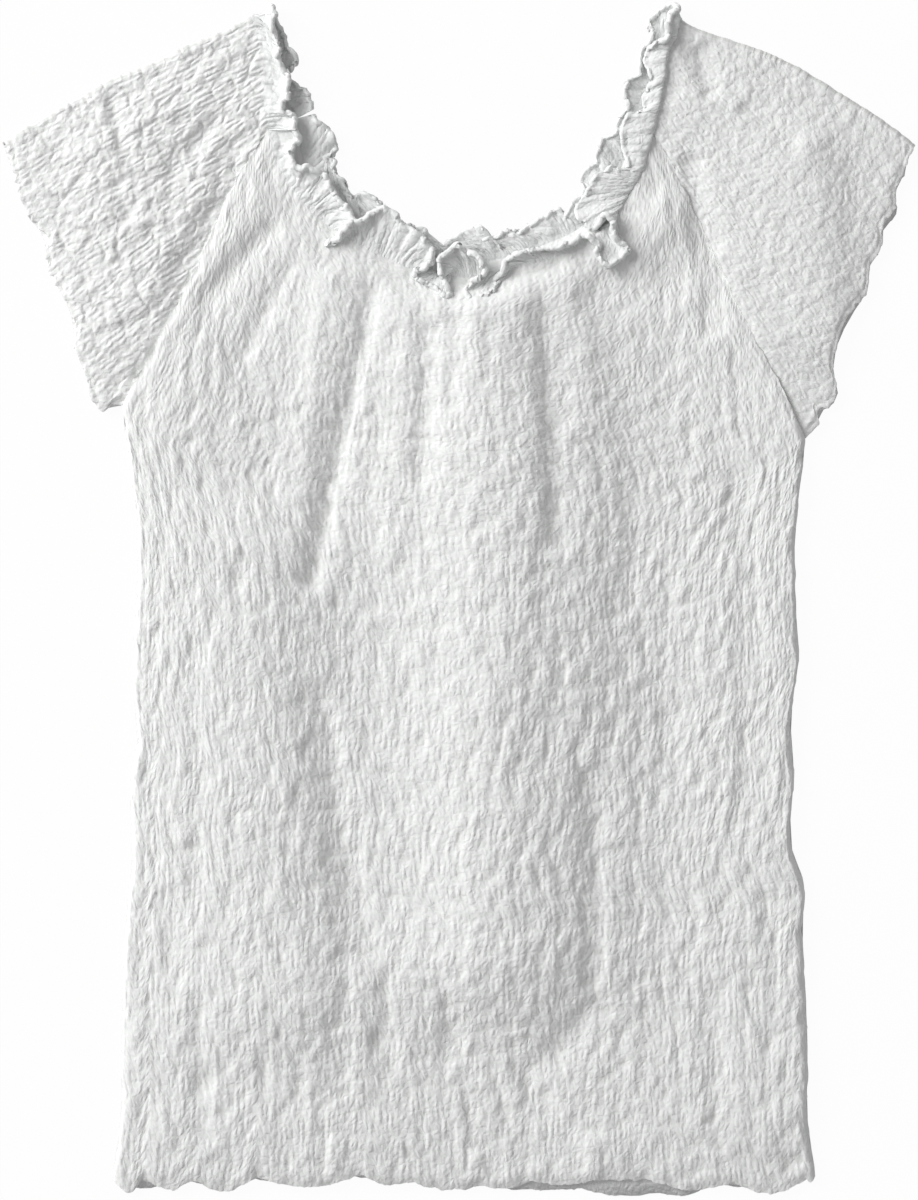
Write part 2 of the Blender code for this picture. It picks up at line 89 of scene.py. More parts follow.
# Raglan seams run from the neck to the underarm, shoulder folds from the neck out, neck edges
# from the raglan seam to the shoulder, and cuffs from the underarm up
sleeveCuts = {
    "left": {
        "raglan": (
            (-101.5, 248.6), (-111.0, 234.8), (-124.3, 209.9), (-137.5, 180.7),
            (-153.4, 148.9), (-169.3, 119.8), (-179.0, 102.8),
        ),
        "raglanBack": (
            (-89.8, 253.9), (-112.0, 222.0), (-137.5, 180.7), (-160.0, 137.0), (-179.0, 102.8),
        ),
        "shoulder": (
            (-111.0, 309.6), (-128.5, 299.6), (-143.9, 294.0), (-161.4, 285.0),
            (-187.4, 274.6), (-201.7, 266.4), (-220.2, 255.9), (-241.9, 243.2),
        ),
        "neck": ((-101.5, 248.6), (-104.1, 264.5), (-104.9, 285.7), (-111.0, 309.6)),
        "neckBack": ((-89.8, 253.9), (-95.4, 271.0), (-101.6, 291.0), (-111.0, 309.6)),
        "cuff": (
            (-179.0, 102.8), (-183.6, 103.6), (-189.2, 99.8), (-194.2, 104.4), (-198.5, 121.4),
            (-204.2, 134.6), (-203.6, 146.3), (-211.0, 160.6), (-214.4, 168.0), (-219.4, 182.4),
            (-219.0, 193.4), (-228.4, 203.6), (-234.2, 216.2), (-237.4, 229.0), (-241.9, 243.2),
        ),
    },
    "right": {
        "raglan": (
            (101.5, 248.6), (110.5, 233.7), (123.2, 208.8), (135.9, 180.7), (150.8, 148.9),
            (167.0, 118.4), (183.6, 85.3),
        ),
        "raglanBack": (
            (96.7, 253.9), (114.0, 222.0), (136.0, 180.7), (160.0, 131.0), (183.6, 85.3),
        ),
        "shoulder": (
            (114.6, 308.6), (126.4, 302.4), (146.5, 295.5), (171.5, 286.0), (186.8, 277.6),
            (202.2, 268.0), (219.7, 257.0), (241.9, 241.2),
        ),
        "neck": ((101.5, 248.6), (105.5, 268.0), (108.6, 290.0), (114.6, 308.6)),
        "neckBack": ((96.7, 253.9), (101.6, 271.0), (106.0, 291.0), (114.6, 308.6)),
        "cuff": (
            (183.6, 85.3), (190.4, 93.0), (189.8, 99.6), (197.0, 102.6), (200.4, 112.4),
            (198.2, 119.4), (200.8, 135.7), (206.0, 149.5), (217.0, 164.6), (218.4, 178.0),
            (223.4, 184.6), (225.8, 200.0), (231.4, 207.0), (232.0, 217.2), (236.2, 225.4),
            (241.9, 241.2),
        ),
    },
}

clothLayers = {
    "bulk": 2.2,  # of the crinkled cloth
    "gap": 0.3,  # between two pieces
    "seamShare": 0.03,  # a panel keeps this far from its seam line
    "seamWander": 0.9,  # how far a raglan seam wanders from its smooth line
    "roll": 3.2,  # width over which a side rolls down to its seam
    "seamDip": 0.7,  # how far a panel dips at a raglan seam
    "seamDipWidth": 2.2,
    "foldStart": 24.0,  # distance from the neck over which a fold reaches its height
    "lining": 0.85,  # share of its folds that the underside of a layer has
    "bead": 0.5,  # height of the low round line along a pressed edge
    "beadPlace": 0.9,  # its distance from the edge
    "beadWidth": 0.8,
}
frontBase = clothLayers["bulk"] + clothLayers["gap"]
frontTop = frontBase + clothLayers["bulk"] + 0.2


def along(points):  # distance of each point along a line, from 0 to 1
    steps = np.linalg.norm(np.diff(points, axis=0), axis=1)
    distance = np.concatenate([[0.0], np.cumsum(steps)])
    return distance / distance[-1]


def cubicThrough(station, points, count):
    # cubic through the points over their stations: each piece keeps the slope at its ends
    slope = np.gradient(points, station, axis=0)
    fine = np.linspace(0.0, 1.0, count)
    left = np.clip(np.searchsorted(station, fine, side="right") - 1, 0, len(points) - 2)
    width = (station[left + 1] - station[left])[:, None]
    t = ((fine - station[left])[:, None]) / width
    return (
        (2 * t**3 - 3 * t**2 + 1) * points[left]
        + (t**3 - 2 * t**2 + t) * width * slope[left]
        + (3 * t**2 - 2 * t**3) * points[left + 1]
        + (t**3 - t**2) * width * slope[left + 1]
    )


def smoothRows(rows, count):  # cubic through the rows over their distance along
    points = np.array(rows, dtype=float)
    return cubicThrough(along(points[:, :2]), points, count)


def lineThrough(rows, count=700):  # a line is its parts, from 0 to 1, and a point for each
    curve = smoothRows(rows, count)
    return along(curve), curve


def pointAt(line, part):
    parts, points = line
    return np.stack([np.interp(part, parts, column) for column in points.T], axis=-1)


def coons(edges, across, down):
    # grid between four lines: straight blends of top with bottom and of left with right are
    # added, and the straight blend of the four corners is taken off
    top, bottom, left, right = edges
    a, d = across[..., None], down[..., None]
    start, end = pointAt(top, 0.0), pointAt(top, 1.0)
    low, lowEnd = pointAt(bottom, 0.0), pointAt(bottom, 1.0)
    corners = (1 - d) * ((1 - a) * start + a * end) + d * ((1 - a) * low + a * lowEnd)
    return (
        (1 - d) * pointAt(top, across) + d * pointAt(bottom, across)
        + (1 - a) * pointAt(left, down) + a * pointAt(right, down) - corners
    )


def unit(vectors):  # each vector at length 1
    return vectors / np.maximum(np.linalg.norm(vectors, axis=-1, keepdims=True), 1e-9)


def withHeight(plan, height):  # plan points and their heights as points in space
    return np.concatenate([plan, height[..., None]], axis=-1)


def bell(x):  # 1 at nothing, sinking to both sides over about 1
    return np.exp(-(x**2))


def edgeBead(distance):  # height of the low round line along a pressed edge
    fromBead = (distance - clothLayers["beadPlace"]) / clothLayers["beadWidth"]
    return clothLayers["bead"] * bell(fromBead)


def evenParts(count, margin):
    # even parts from 0 to 1, the first and last only a margin long: the smooth shading of a
    # panel bends towards its rim no further than that
    return np.concatenate([[0.0], np.linspace(margin, 1 - margin, count - 2), [1.0]])


def step(low, high, x):  # smooth step from 0 at low to 1 at high
    t = np.clip((x - low) / (high - low), 0.0, 1.0)
    return t * t * (3 - 2 * t)


tableSize = 256  # random numbers repeat after so many squares each way
noiseTables = {}


def noise(x, y, seed):
    # gradient noise: slopes in random directions at whole numbers, blended with
    # t^3 (6 t^2 - 15 t + 10), about -1 to 1
    if seed not in noiseTables:
        noiseTables[seed] = np.random.default_rng(seed).random((tableSize, tableSize)) * 2 * math.pi
    angles = noiseTables[seed]
    x, y = np.broadcast_arrays(x, y)
    column, row = np.floor(x).astype(int), np.floor(y).astype(int)
    fx, fy = x - column, y - row

    def corner(dx, dy):
        angle = angles[(row + dy) % tableSize, (column + dx) % tableSize]
        return np.cos(angle) * (fx - dx) + np.sin(angle) * (fy - dy)

    blendX = fx**3 * (fx * (fx * 6 - 15) + 10)
    blendY = fy**3 * (fy * (fy * 6 - 15) + 10)
    top = corner(0, 0) * (1 - blendX) + corner(1, 0) * blendX
    bottom = corner(0, 1) * (1 - blendX) + corner(1, 1) * blendX
    return (top * (1 - blendY) + bottom * blendY) * 1.5


def waves(rows, x, y, seed):
    # sum of noises, a row for each: height, sizes along x and y, and what it adds to the seed
    return sum(high * noise(x / wide, y / long, seed + own) for high, wide, long, own in rows)


cellTables = {}


def cells(x, y, seed, scatter=1.0):
    # one scattered point in each unit square: distances to the nearest point and to the next,
    # and the nearest one's own y and its own number from 0 to 1
    if seed not in cellTables:
        cellTables[seed] = np.random.default_rng(seed + 1000).random((3, tableSize, tableSize))
    placeX, placeY, number = cellTables[seed]
    placeX, placeY = 0.5 + (placeX - 0.5) * scatter, 0.5 + (placeY - 0.5) * scatter
    x, y = np.broadcast_arrays(x, y)
    column, row = np.floor(x).astype(int), np.floor(y).astype(int)
    nearest = np.full(x.shape, 9.0)
    second, centre, own = nearest.copy(), np.zeros(x.shape), np.zeros(x.shape)
    for dy in (-1, 0, 1):
        for dx in (-1, 0, 1):
            at = (row + dy) % tableSize, (column + dx) % tableSize
            centreHere = row + dy + placeY[at]
            distance = np.hypot(column + dx + placeX[at] - x, centreHere - y)
            closer = distance < nearest
            second = np.where(closer, nearest, np.minimum(second, distance))
            own = np.where(closer, number[at], own)
            centre = np.where(closer, centreHere, centre)
            nearest = np.where(closer, distance, nearest)
    return nearest, second, centre, own


crinkleValues = {
    "pitch": 2.95,  # across one rib
    "ridge": 0.52,  # height of the ribs
    "warp": ((0.45, 4.5, 11, 1), (0.3, 2.8, 4.5, 2), (1, 20, 40, 20)),  # how far they wander
    "drift": ((0.35, 6, 16, 3),),  # and how much sooner or later they come, in ribs
    "shift": ((5, 24, 26, 9), (2.4, 7, 8, 10)),  # how far the patches move along them
    "patchWide": 15.0,  # of the patches in which ribs run on, and which end in tucks
    "patchLong": 9.5,
    "border": 0.3,  # width over which ribs sink towards a patch's edge, in patches
    "tuck": 0.7,  # depth of the tucks between patches
    "tuckWidth": 0.18,
    "puff": 0.85,  # height of the small blisters between the ribs
    "puffSize": 6.4,
    "puffShare": 0.44,  # of the cloth that is blisters
    "puffHides": 0.85,  # share of the ribs' height that a blister hides
    "dome": 0.45,  # width of a blister's slope, in its own size
    "streak": 0.4,  # height of the long smooth waves
    "lump": 0.4,  # and of the round ones
    "lumps": ((1, 9, 10, 15), (0.7, 4, 5, 16)),
}


def pillow(nearest, second, width):
    # 0 on the line between two cells, and round to 1 inside them
    t = np.clip((second - nearest) / width, 0, 1)
    return 1 - (1 - t) ** 2


def crinkle(u, p, widthAt, values=crinkleValues, seed=0):
    # u runs across the ribs and p, in mm, along them; widthAt(p) is the mm of one u there.
    # Ribs are raised sines that start afresh in each patch, and the lines between the patches
    # are tucks. Blisters are round cells, and smooth noises add streaks and lumps.
    # Returns heights, the ribs' phase, and how strongly they show.
    q = u * widthAt(p)
    warp, shift = waves(values["warp"], q, p, seed), waves(values["shift"], q, p, seed)
    long = values["patchLong"]
    nearest, second, centre, own = cells(
        (q + 2 * warp) / values["patchWide"], (p + shift) / long, seed + 50, 0.9
    )
    border = pillow(nearest, second, values["border"])
    phase = (u * widthAt(centre * long) + warp) / values["pitch"] + 3 * own
    phase += waves(values["drift"], q, p, seed)
    tuck = bell((second - nearest) / values["tuckWidth"])
    tuck *= step(-0.2, 0.3, noise(q / 13, p / 12, seed + 51))
    size = values["puffSize"]
    nearest, second, _, own = cells((q + 2 * warp) / size, (p + shift) / size, seed + 40)
    puff = step(1 - values["puffShare"], 1.06 - values["puffShare"], own)
    puff = puff * pillow(nearest, second, values["dome"])
    uneven = 0.25 + 0.75 * step(-0.4, 0.2, noise(q / 4, p / 4.5, seed + 4))
    shown = border * (1 - values["puffHides"] * puff) * uneven
    ridge = (0.5 + 0.5 * np.sin(2 * math.pi * phase)) ** 0.75
    height = values["ridge"] * ridge * shown + values["puff"] * puff - values["tuck"] * tuck
    height += values["streak"] * noise((q + 0.8 * warp) / 7, p / 30, seed + 14)
    height += values["lump"] * waves(values["lumps"], q, p, seed)
    return height, phase, shown


# Folds: ends of the crest, spread to the left and right of it, rise (below nothing
# for a trough), and how far its middle bows to the right
bodyFolds = (
    # xTop, yTop, xBottom, yBottom, left, right, rise, bow
    (14, 190, 21, -215, 40, 56, 10.6, 0),
    (175, 150, 178, -290, 50, 13, 3.2, 0),
    (-142, 40, -140, -300, 30, 58, 2.7, 0),
    (-108, 46, -88, -236, 54, 32, 5.6, 0),
    (-62, -180, -50, -310, 54, 44, 2.6, 0),
    (-150, 150, -158, 30, 26, 44, 3.8, 0),
    (108, 150, 106, -230, 24, 18, -1.3, 0),
    (44, 166, 51, 26, 7, 13, -3.1, 0),
    (47, 30, 42, -90, 9, 15, -1.1, 0),
    (70, -90, 71, -206, 9, 6, -2.4, 2),
    (74, -205, 32, -256, 8, 8, -2, 5),
    (74, 164, 88, -8, 8, 8, -0.9, 9),
    (-45, 166, -79, 6, 6, 5, -2.6, 0),
    (-76, -45, -50, -190, 12, 8, -2.4, 0),
    (-66, 174, -88, 50, 9, 8, 1.7, 0),
    (-30, 162, -36, 20, 8, 9, 1.6, 0),
    (-15, 146, -21, 60, 6, 6, -1.4, 0),
    (-2, 162, -5, 100, 5, 5, -1.2, 0),
    (-99, 198, -138, 156, 6, 6, -1.9, 0),
    (-88, 180, -118, 124, 6, 6, -1.6, 0),
    (-101, 222, -150, 146, 10, 8, 1.6, 0),
    (105, 214, 111, 192, 12, 12, 2.8, 0),
    (-42, 190, -64, 96, 34, 14, 1.9, 0),
    (50, 100, 52, -60, 34, 26, 1.6, 0),
    (147, 134, 152, 30, 24, 22, -1.6, 0),
    (62, 166, 122, 172, 16, 13, -3.3, 0),
    (126, 204, 133, 140, 7, 8, -2.4, 3),
    (-140, -20, -140, -160, 5, 6, -1, 0),
    (-153, -156, -153, -214, 6, 6, -0.9, 0),
    (-137, -210, -138, -292, 6, 7, -1.2, 0),
    (-63, -190, -64, -264, 6, 7, -1, 0),
    (-39, -192, -40, -268, 6, 7, -1, 0),
    (-5, -208, -8, -248, 6, 6, -1.4, 0),
    (135, -200, 137, -292, 6, 6, -1.2, 0),
    (164, -156, 165, -240, 6, 6, -1, 0),
    (74, -284, 76, -312, 12, 15, 2.6, 0),
    (146, 70, 152, -120, 9, 9, -1.3, 4),
)
hemDents = (
    # x, y, radius, depth
    (-135, -255, 7, 2), (-122, -300, 6, 1.8), (-42, -234, 7, 2),
    (-2, -231, 6, 1.8), (43, -265, 8, 2.2), (80, -303, 7, 1.6),
    (175, -300, 7, 1.6), (110, -62, 8, 1.4), (-118, 12, 8, 1.4),
)
sleeveFolds = {
    "left": (
        (-116, 246, -153, 168, 8, 8, -2.2, 3),
        (-129, 256, -154, 220, 5, 5, -1.6, 0),
        (-185, 266, -177, 232, 4, 5, -1.8, 0),
        (-184, 226, -175, 200, 4, 4, -1.6, 0),
        (-111, 192, -132, 158, 5, 5, -1.6, 0),
        (-130, 226, -170, 150, 12, 12, 1.8, 0),
        (-130, 276, -200, 240, 12, 12, 1.4, 0),
        (-186, 246, -180, 130, 24, 30, 3, 0),
    ),
    "right": (
        (186, 246, 196, 128, 44, 16, 4, 0),
        (116, 268, 190, 236, 9, 12, 1.6, 0),
        (126, 292, 134, 266, 6, 6, -2.4, 0),
        (122, 234, 136, 184, 6, 7, -2.4, -3),
        (150, 262, 178, 238, 5, 5, -1.2, 3),
    ),
}


def foldLift(plan, folds):
    # sum of bell curves across each line, smoothly sinking to nothing over its ends
    lift = np.zeros(plan.shape[:-1])
    for xTop, yTop, xBottom, yBottom, left, right, rise, bow in folds:
        top = np.array([xTop, yTop])
        run = np.array([xBottom, yBottom]) - top
        length = np.linalg.norm(run)
        part = (plan - top) @ run / length**2
        side = (plan - top) @ np.array([-run[1], run[0]]) / length
        side = side - bow * np.sin(math.pi * np.clip(part, 0, 1))
        spread = np.where(side > 0, right, left)
        fade = 0.3 * (left + right) / length
        ends = step(-fade, fade, part) * step(-fade, fade, 1 - part)
        lift += rise * ends * bell(side / spread)
    return lift


def dentDepth(plan, dents):  # sum of round bell curves
    depth = np.zeros(plan.shape[:-1])
    for x, y, radius, deep in dents:
        depth += deep * np.exp(-(((plan - (x, y)) ** 2).sum(axis=-1)) / radius**2)
    return depth


def addPiece(name, points, faces, uv, measures, material):
    # faces are arrays of corner numbers, all turned the same way round
    corners = [points[f] for f in faces]
    volume = sum(
        np.einsum("ij,ij->i", c[:, 0], np.cross(c[:, i], c[:, i + 1])).sum()
        for c in corners for i in range(1, c.shape[1] - 1)
    )
    if volume < 0:
        faces = [f[:, ::-1] for f in faces]
    mesh = bpy.data.meshes.new(name)
    mesh.from_pydata((points * metres).tolist(), [], sum((f.tolist() for f in faces), []))
    corner = np.empty(len(mesh.loops), dtype=np.int32)
    mesh.loops.foreach_get("vertex_index", corner)
    mesh.uv_layers.new(name="cloth").data.foreach_set("uv", (uv[corner] * metres).ravel())
    for measure, values in measures.items():
        attribute = mesh.attributes.new(measure, "FLOAT", "POINT")
        attribute.data.foreach_set("value", values.astype(np.float32))
    mesh.materials.append(material)
    smooth = np.concatenate([np.full(len(f), f.shape[1] == 4) for f in faces])
    mesh.polygons.foreach_set("use_smooth", smooth)  # rims and ends, of triangles, stay flat
    piece = bpy.data.objects.new(name, mesh)
    bpy.context.scene.collection.objects.link(piece)
    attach(piece, "root")
    triangles = sum(len(f) * (f.shape[1] - 2) for f in faces)
    print(f"{name}: {triangles} triangles")
    return piece


def shell(outer, inner, every):
    # outer grid, and an inner one with each point of the outer that is a multiple of every;
    # the rim between them is a strip of triangles. Returns points and faces.
    rows, columns = outer.shape[:2]
    inner = inner[::every, ::every]
    index = np.arange(rows * columns).reshape(rows, columns)
    under = np.arange(inner.shape[0] * inner.shape[1]).reshape(inner.shape[:2]) + rows * columns

    def sheet(i):
        return np.stack([i[:-1, :-1], i[1:, :-1], i[1:, 1:], i[:-1, 1:]], axis=-1).reshape(-1, 4)

    def loop(i):
        return np.concatenate([i[0, :-1], i[:-1, -1], i[-1, :0:-1], i[:0:-1, 0]])

    rim, below = loop(index), loop(under)
    at = (np.arange(len(rim)) + every // 2) // every % len(below)
    nextAt = np.roll(at, -1)
    steps = at != nextAt
    fans = np.stack([rim, np.roll(rim, -1), below[at]], axis=-1)
    turns = np.stack([np.roll(rim, -1), below[nextAt], below[at]], axis=-1)[steps]
    points = np.concatenate([outer.reshape(-1, 3), inner.reshape(-1, 3)])
    return points, [sheet(index), sheet(under)[:, ::-1], fans, turns]


def onGrid(values, every):  # a value for each point of a shell, in its order
    return np.concatenate([
        values.reshape(-1, *values.shape[2:]),
        values[::every, ::every].reshape(-1, *values.shape[2:]),
    ])


def unbroken(phase, shown, jump=0.6):
    # how strongly ribs show, and nothing where the phase jumps from one point to the next
    whole = np.ones(phase.shape, dtype=bool)
    across, down = np.abs(np.diff(phase, axis=1)) < jump, np.abs(np.diff(phase, axis=0)) < jump
    whole[:, 1:] &= across
    whole[:, :-1] &= across
    whole[1:] &= down
    whole[:-1] &= down
    return shown * whole


# crease, how deep a point lies in a hollow, darkens the colour there as painted shade
def ribMeasures(crease, phase, shown, every):
    return {
        "crease": onGrid(crease, every), "phase": onGrid(phase, every),
        "shown": onGrid(unbroken(phase, shown), every),
    }


def hollowness(height, rows, columns):
    # how far each point lies below the mean of those round it, over a square of that many
    total = np.pad(height, ((rows, rows), (columns, columns)), mode="edge")
    total = np.cumsum(np.cumsum(total, axis=0), axis=1)
    total = np.pad(total, ((1, 0), (1, 0)))
    r, c = 2 * rows + 1, 2 * columns + 1
    mean = (total[r:, c:] - total[:-r, c:] - total[r:, :-c] + total[:-r, :-c]) / (r * c)
    return mean - height


class Field:
    # one output socket of a node: + - * and powers on it add Math nodes
    def __init__(self, nodes, socket):
        self.nodes, self.socket = nodes, socket

    def __add__(self, other):
        return self.nodes.math("ADD", self, other)

    def __sub__(self, other):
        return self.nodes.math("SUBTRACT", self, other)

    def __mul__(self, other):
        return self.nodes.math("MULTIPLY", self, other)

    def __pow__(self, other):
        return self.nodes.math("POWER", self, other)


class Nodes:
    # the nodes of a material or of the world
    def __init__(self, owner):
        owner.use_nodes = True
        self.tree = owner.node_tree

    def put(self, socket, value):
        if isinstance(value, Field):
            self.tree.links.new(value.socket, socket)
        else:
            socket.default_value = value

    def set(self, name, sockets):
        for key, value in sockets.items():
            self.put(self.tree.nodes[name].inputs[key], value)

    def first(self, name):  # the first output of a node that is there already
        return Field(self, self.tree.nodes[name].outputs[0])

    def node(self, kind, settings, sockets, output=0):
        made = self.tree.nodes.new(kind)
        for key, value in settings.items():
            setattr(made, key, value)
        for key, value in sockets.items():
            self.put(made.inputs[key], value)
        return Field(self, made.outputs[output])

    def math(self, operation, *values):
        return self.node("ShaderNodeMath", {"operation": operation}, dict(enumerate(values)))


def clothFinish(name, colour, creaseShadeColour, values):
    # colours darken a little in the creases, a painted shade, and vary a little in broad random
    # clouds; the bump is short ribs, facets, blisters and fibres
    material = bpy.data.materials.new(name)
    finish = Nodes(material)
    surface = finish.node("ShaderNodeUVMap", {"uv_map": "cloth"}, {})

    def scaled(across, along, turn=0.0):
        return finish.node(
            "ShaderNodeMapping", {},
            {"Vector": surface, "Scale": (1000 / across, 1000 / along, 1.0),
             "Rotation": (0.0, 0.0, turn)},
        )

    def pattern(across, along, detail=2.0, turn=0.0, output=0):
        return finish.node(
            "ShaderNodeTexNoise", {},
            {"Vector": scaled(across, along, turn), "Scale": 1.0, "Detail": detail,
             "Roughness": 0.55},
            output,
        )

    def puckered(across, along, wander, crease, random=0.9):
        # cells with round tops, whose borders wander by a noise of their own size
        sway = pattern(across * 2.2, along * 0.8, output=1)
        place = finish.node(
            "ShaderNodeVectorMath", {"operation": "MULTIPLY_ADD"},
            {0: sway, 1: (wander, wander, 0.0), 2: scaled(across, along)},
        )
        edge = finish.node(
            "ShaderNodeTexVoronoi", {"voronoi_dimensions": "2D", "feature": "DISTANCE_TO_EDGE"},
            {"Vector": place, "Scale": 1.0, "Randomness": random},
        )
        return finish.node(
            "ShaderNodeMapRange", {"interpolation_type": "SMOOTHSTEP"},
            {"Value": edge, "From Min": 0.0, "From Max": crease},
        )

    def measure(name):
        return finish.node("ShaderNodeAttribute", {"attribute_name": name}, {}, output="Fac")

    # |sine| of the phase has sharp valleys between round ribs
    wiggle = (pattern(2.6, 5.0) - 0.5) * 0.9
    turns = (measure("phase") + wiggle) * math.pi + 0.25 * math.pi
    ribs = finish.math("ABSOLUTE", finish.math("SINE", turns)) ** 0.7
    facets = puckered(values["facet"], values["facet"] * 1.3, 0.9, 0.4)
    height = ribs * measure("shown") * values["ribs"] + facets * values["facets"]
    height = height + pattern(2.2, 3.0) * values["cross"]
    height = height + pattern(0.5, 0.6, 3.0, 0.4) * values["fibres"]
    bump = finish.node(
        "ShaderNodeBump", {}, {"Strength": 1.0, "Distance": 0.001, "Height": height}
    )
    cloudy = pattern(26.0, 34.0, 3.0)
    # painted shade: the cloth takes on its shade colour where the crease measure is high, in
    # hollows, with broad random clouds added
    depth = finish.node(
        "ShaderNodeMapRange", {"interpolation_type": "SMOOTHSTEP"},
        {"Value": measure("crease") + (cloudy - 0.5) * 0.5, "From Min": -0.15, "From Max": 1.25},
    )
    toneWithCreaseShade = finish.node(
        "ShaderNodeMix", {"data_type": "RGBA"}, {0: depth, 6: colour, 7: creaseShadeColour}, output=2
    )
    finish.set("Principled BSDF", {
        "Base Color": toneWithCreaseShade, "Normal": bump, "Roughness": values["roughness"],
        "Sheen Weight": values["sheen"], "Sheen Roughness": 0.5,
        "Specular IOR Level": 0.25,
    })
    return material


crinkleFinish = {
    "ribs": 0.17, "facet": 3.2, "facets": 0.17, "cross": 0.28, "fibres": 0.06,  # all in mm
    "roughness": 0.9, "sheen": 0.1,
}
frillFinish = {
    "ribs": 0.18, "facet": 3.0, "facets": 0.2, "cross": 0.42, "fibres": 0.18,
    "roughness": 0.85, "sheen": 0.1,
}
# each cloth's second colour is the painted shade its creases take on
crinkleCloth = clothFinish(
    "crinkleCloth", (0.84, 0.85, 0.84, 1.0), (0.76, 0.77, 0.755, 1.0), crinkleFinish
)
frillCloth = clothFinish(
    "frillCloth", (0.84, 0.85, 0.845, 1.0), (0.77, 0.78, 0.77, 1.0), frillFinish
)
print("materials made")


bodyValues = {
    "columns": 433, "rows": 217, "every": 6,
    "length": 520.0,
    "widthChecks": (0.0, 0.08, 0.16, 0.24, 0.32, 0.6, 1.0),  # parts of the length
    "straightFrom": 4,  # from this check down it counts as evenly wide
    "underarm": 0.287,  # part of the length
    "dipEnds": (0.27, 0.31),  # parts of it over which the dip at a raglan seam ends
    "calm": 0.3,  # how much flatter the crinkles are near the neck
    "calmFrom": (70, 170),
    "hemThin": 4.5,  # width of the pressed edge at the hem
    "hemFlat": 0.75,  # how much flatter the crinkles are on it
    "hemDrop": 1.3,
    "hemWave": 1.0,
    "sideRest": 0.2,  # how far a side seam lies below the front's underside
    "sway": 0.9,  # how far the side seams wander in long turns
    "quiver": 0.4,  # and in short ones
    "swayStart": (0.30, 0.33),
}
backValues = {
    "foldShare": 0.22,  # of the front's broad folds, which reach the back too
    "foldNeck": (24, 44),  # distances over which they begin, from the neck
    "foldSides": (3, 28),
    "foldHem": (2, 20),
    "outside": 0.9,  # height of the crinkles' middle above the surface it lies on
    "relief": 0.75,  # share of the crinkles' height
    "deepest": 1.6,
    "hemDrop": 0.8,
    "thin": 0.2,  # at the side seams
}


def hemLine(rows, end, fray, seed, count=1500):
    # between two notches it drops as half a sine wave, and small uneven turns hang from that
    notches = np.array([row[:2] for row in rows] + [end])
    depths = np.array([row[2] for row in rows])
    x = np.linspace(notches[0, 0], notches[-1, 0], count)
    base = np.interp(x, notches[:, 0], notches[:, 1])
    at = np.clip(np.searchsorted(notches[:, 0], x, side="right") - 1, 0, len(rows) - 1)
    part = (x - notches[at, 0]) / (notches[at + 1, 0] - notches[at, 0])
    middle = (notches[at, 1] + notches[at + 1, 1]) / 2
    y = base + (depths[at] - middle) * np.sin(math.pi * part)
    ends = np.minimum(step(0, 6, x - x[0]), step(0, 6, x[-1] - x))  # nothing at the side seams
    y += fray * waves(((1, 4.2, 1, 0), (0.6, 1.9, 1, 1)), x, 0.5, seed) * ends
    return np.linspace(0.0, 1.0, count), np.stack([x, y], axis=1)


def raglanCurve(side, raglan, count):
    # the seam wanders to both sides of its smooth line, not at its ends
    curve = smoothRows(sleeveCuts[side][raglan], count)
    parts = along(curve)
    run = np.gradient(curve, axis=0)
    square = np.stack([-run[:, 1], run[:, 0]], axis=1) / np.linalg.norm(run, axis=1)[:, None]
    turns = noise(parts * 24, 0.5, 90) + 0.5 * noise(parts * 60, 0.5, 91)
    offset = clothLayers["seamWander"] * turns * step(0, 0.06, parts) * step(0, 0.06, 1 - parts)
    return curve + square * offset[:, None]


def bodyEdges(neck, hem, raglan, seed):
    # top, bottom, left and right lines of a body panel; both sides share one measure downwards
    sides = [
        np.concatenate([
            raglanCurve(side, raglan, 500), smoothRows(sideSeams[side], 281)[1:]
        ])
        for side in ("left", "right")
    ]
    down = (along(sides[0]) + along(sides[1])) / 2
    bottom = hemLine(hemScallops[hem], hemScallops["rightEnd"], hemScallops["fray"], seed)
    return lineThrough(neckline[neck]), bottom, (down, sides[0]), (down, sides[1])


def inwards(grid, columns, distance):
    # moves an edge column of a plan grid towards its neighbour, clear of the seam line
    edge, inner = columns
    way = grid[:, inner] - grid[:, edge]
    grid[:, edge] += way * distance / np.linalg.norm(way, axis=-1, keepdims=True)


def panelGrid(edges):
    # plan points, and for each its place across (u) and down (p) the ribs
    length, straightFrom = bodyValues["length"], bodyValues["straightFrom"]
    across = evenParts(bodyValues["columns"], 0.0002)[None, :]
    down = evenParts(bodyValues["rows"], 0.00015)[:, None]
    across, down = np.broadcast_arrays(across, down)
    checks = np.array(bodyValues["widthChecks"])
    widths = np.linalg.norm(
        coons(edges, np.ones(len(checks)), checks) - coons(edges, np.zeros(len(checks)), checks),
        axis=-1,
    )
    widths[straightFrom:] = widths[straightFrom:].mean()
    curve = smoothRows(np.stack([checks, widths * 0.001], axis=1), 400)

    def widthAt(p):
        return 1000 * np.interp(np.clip(np.asarray(p) / length, 0, 1), curve[:, 0], curve[:, 1])

    plan = coons(edges, across, down)
    inwards(plan, (0, 1), clothLayers["seamShare"])
    inwards(plan, (-1, -2), clothLayers["seamShare"])
    u, p = across - 0.5, down * length
    q = u * widthAt(p)
    toSide = np.minimum(across, 1 - across) * widthAt(p)
    return plan, u, p, q, toSide, widthAt


def sideRoll(toSide, down):
    # 1 over the panel; below the underarm a quarter round falls to 0 at the side seam
    quarter = np.sqrt(1 - (1 - np.clip(toSide / clothLayers["roll"], 0, 1)) ** 2)
    underarm = bodyValues["underarm"]
    share = step(underarm - 0.01, underarm + 0.03, down)
    return 1 - share * (1 - quarter)


def edgeLine(face, behind):
    # a line half the frill's thickness below a panel's edge row, and the way out of its face
    out = unit(face - behind)
    line = face - out * frillValues["thick"] / 2
    return along(line), line, out


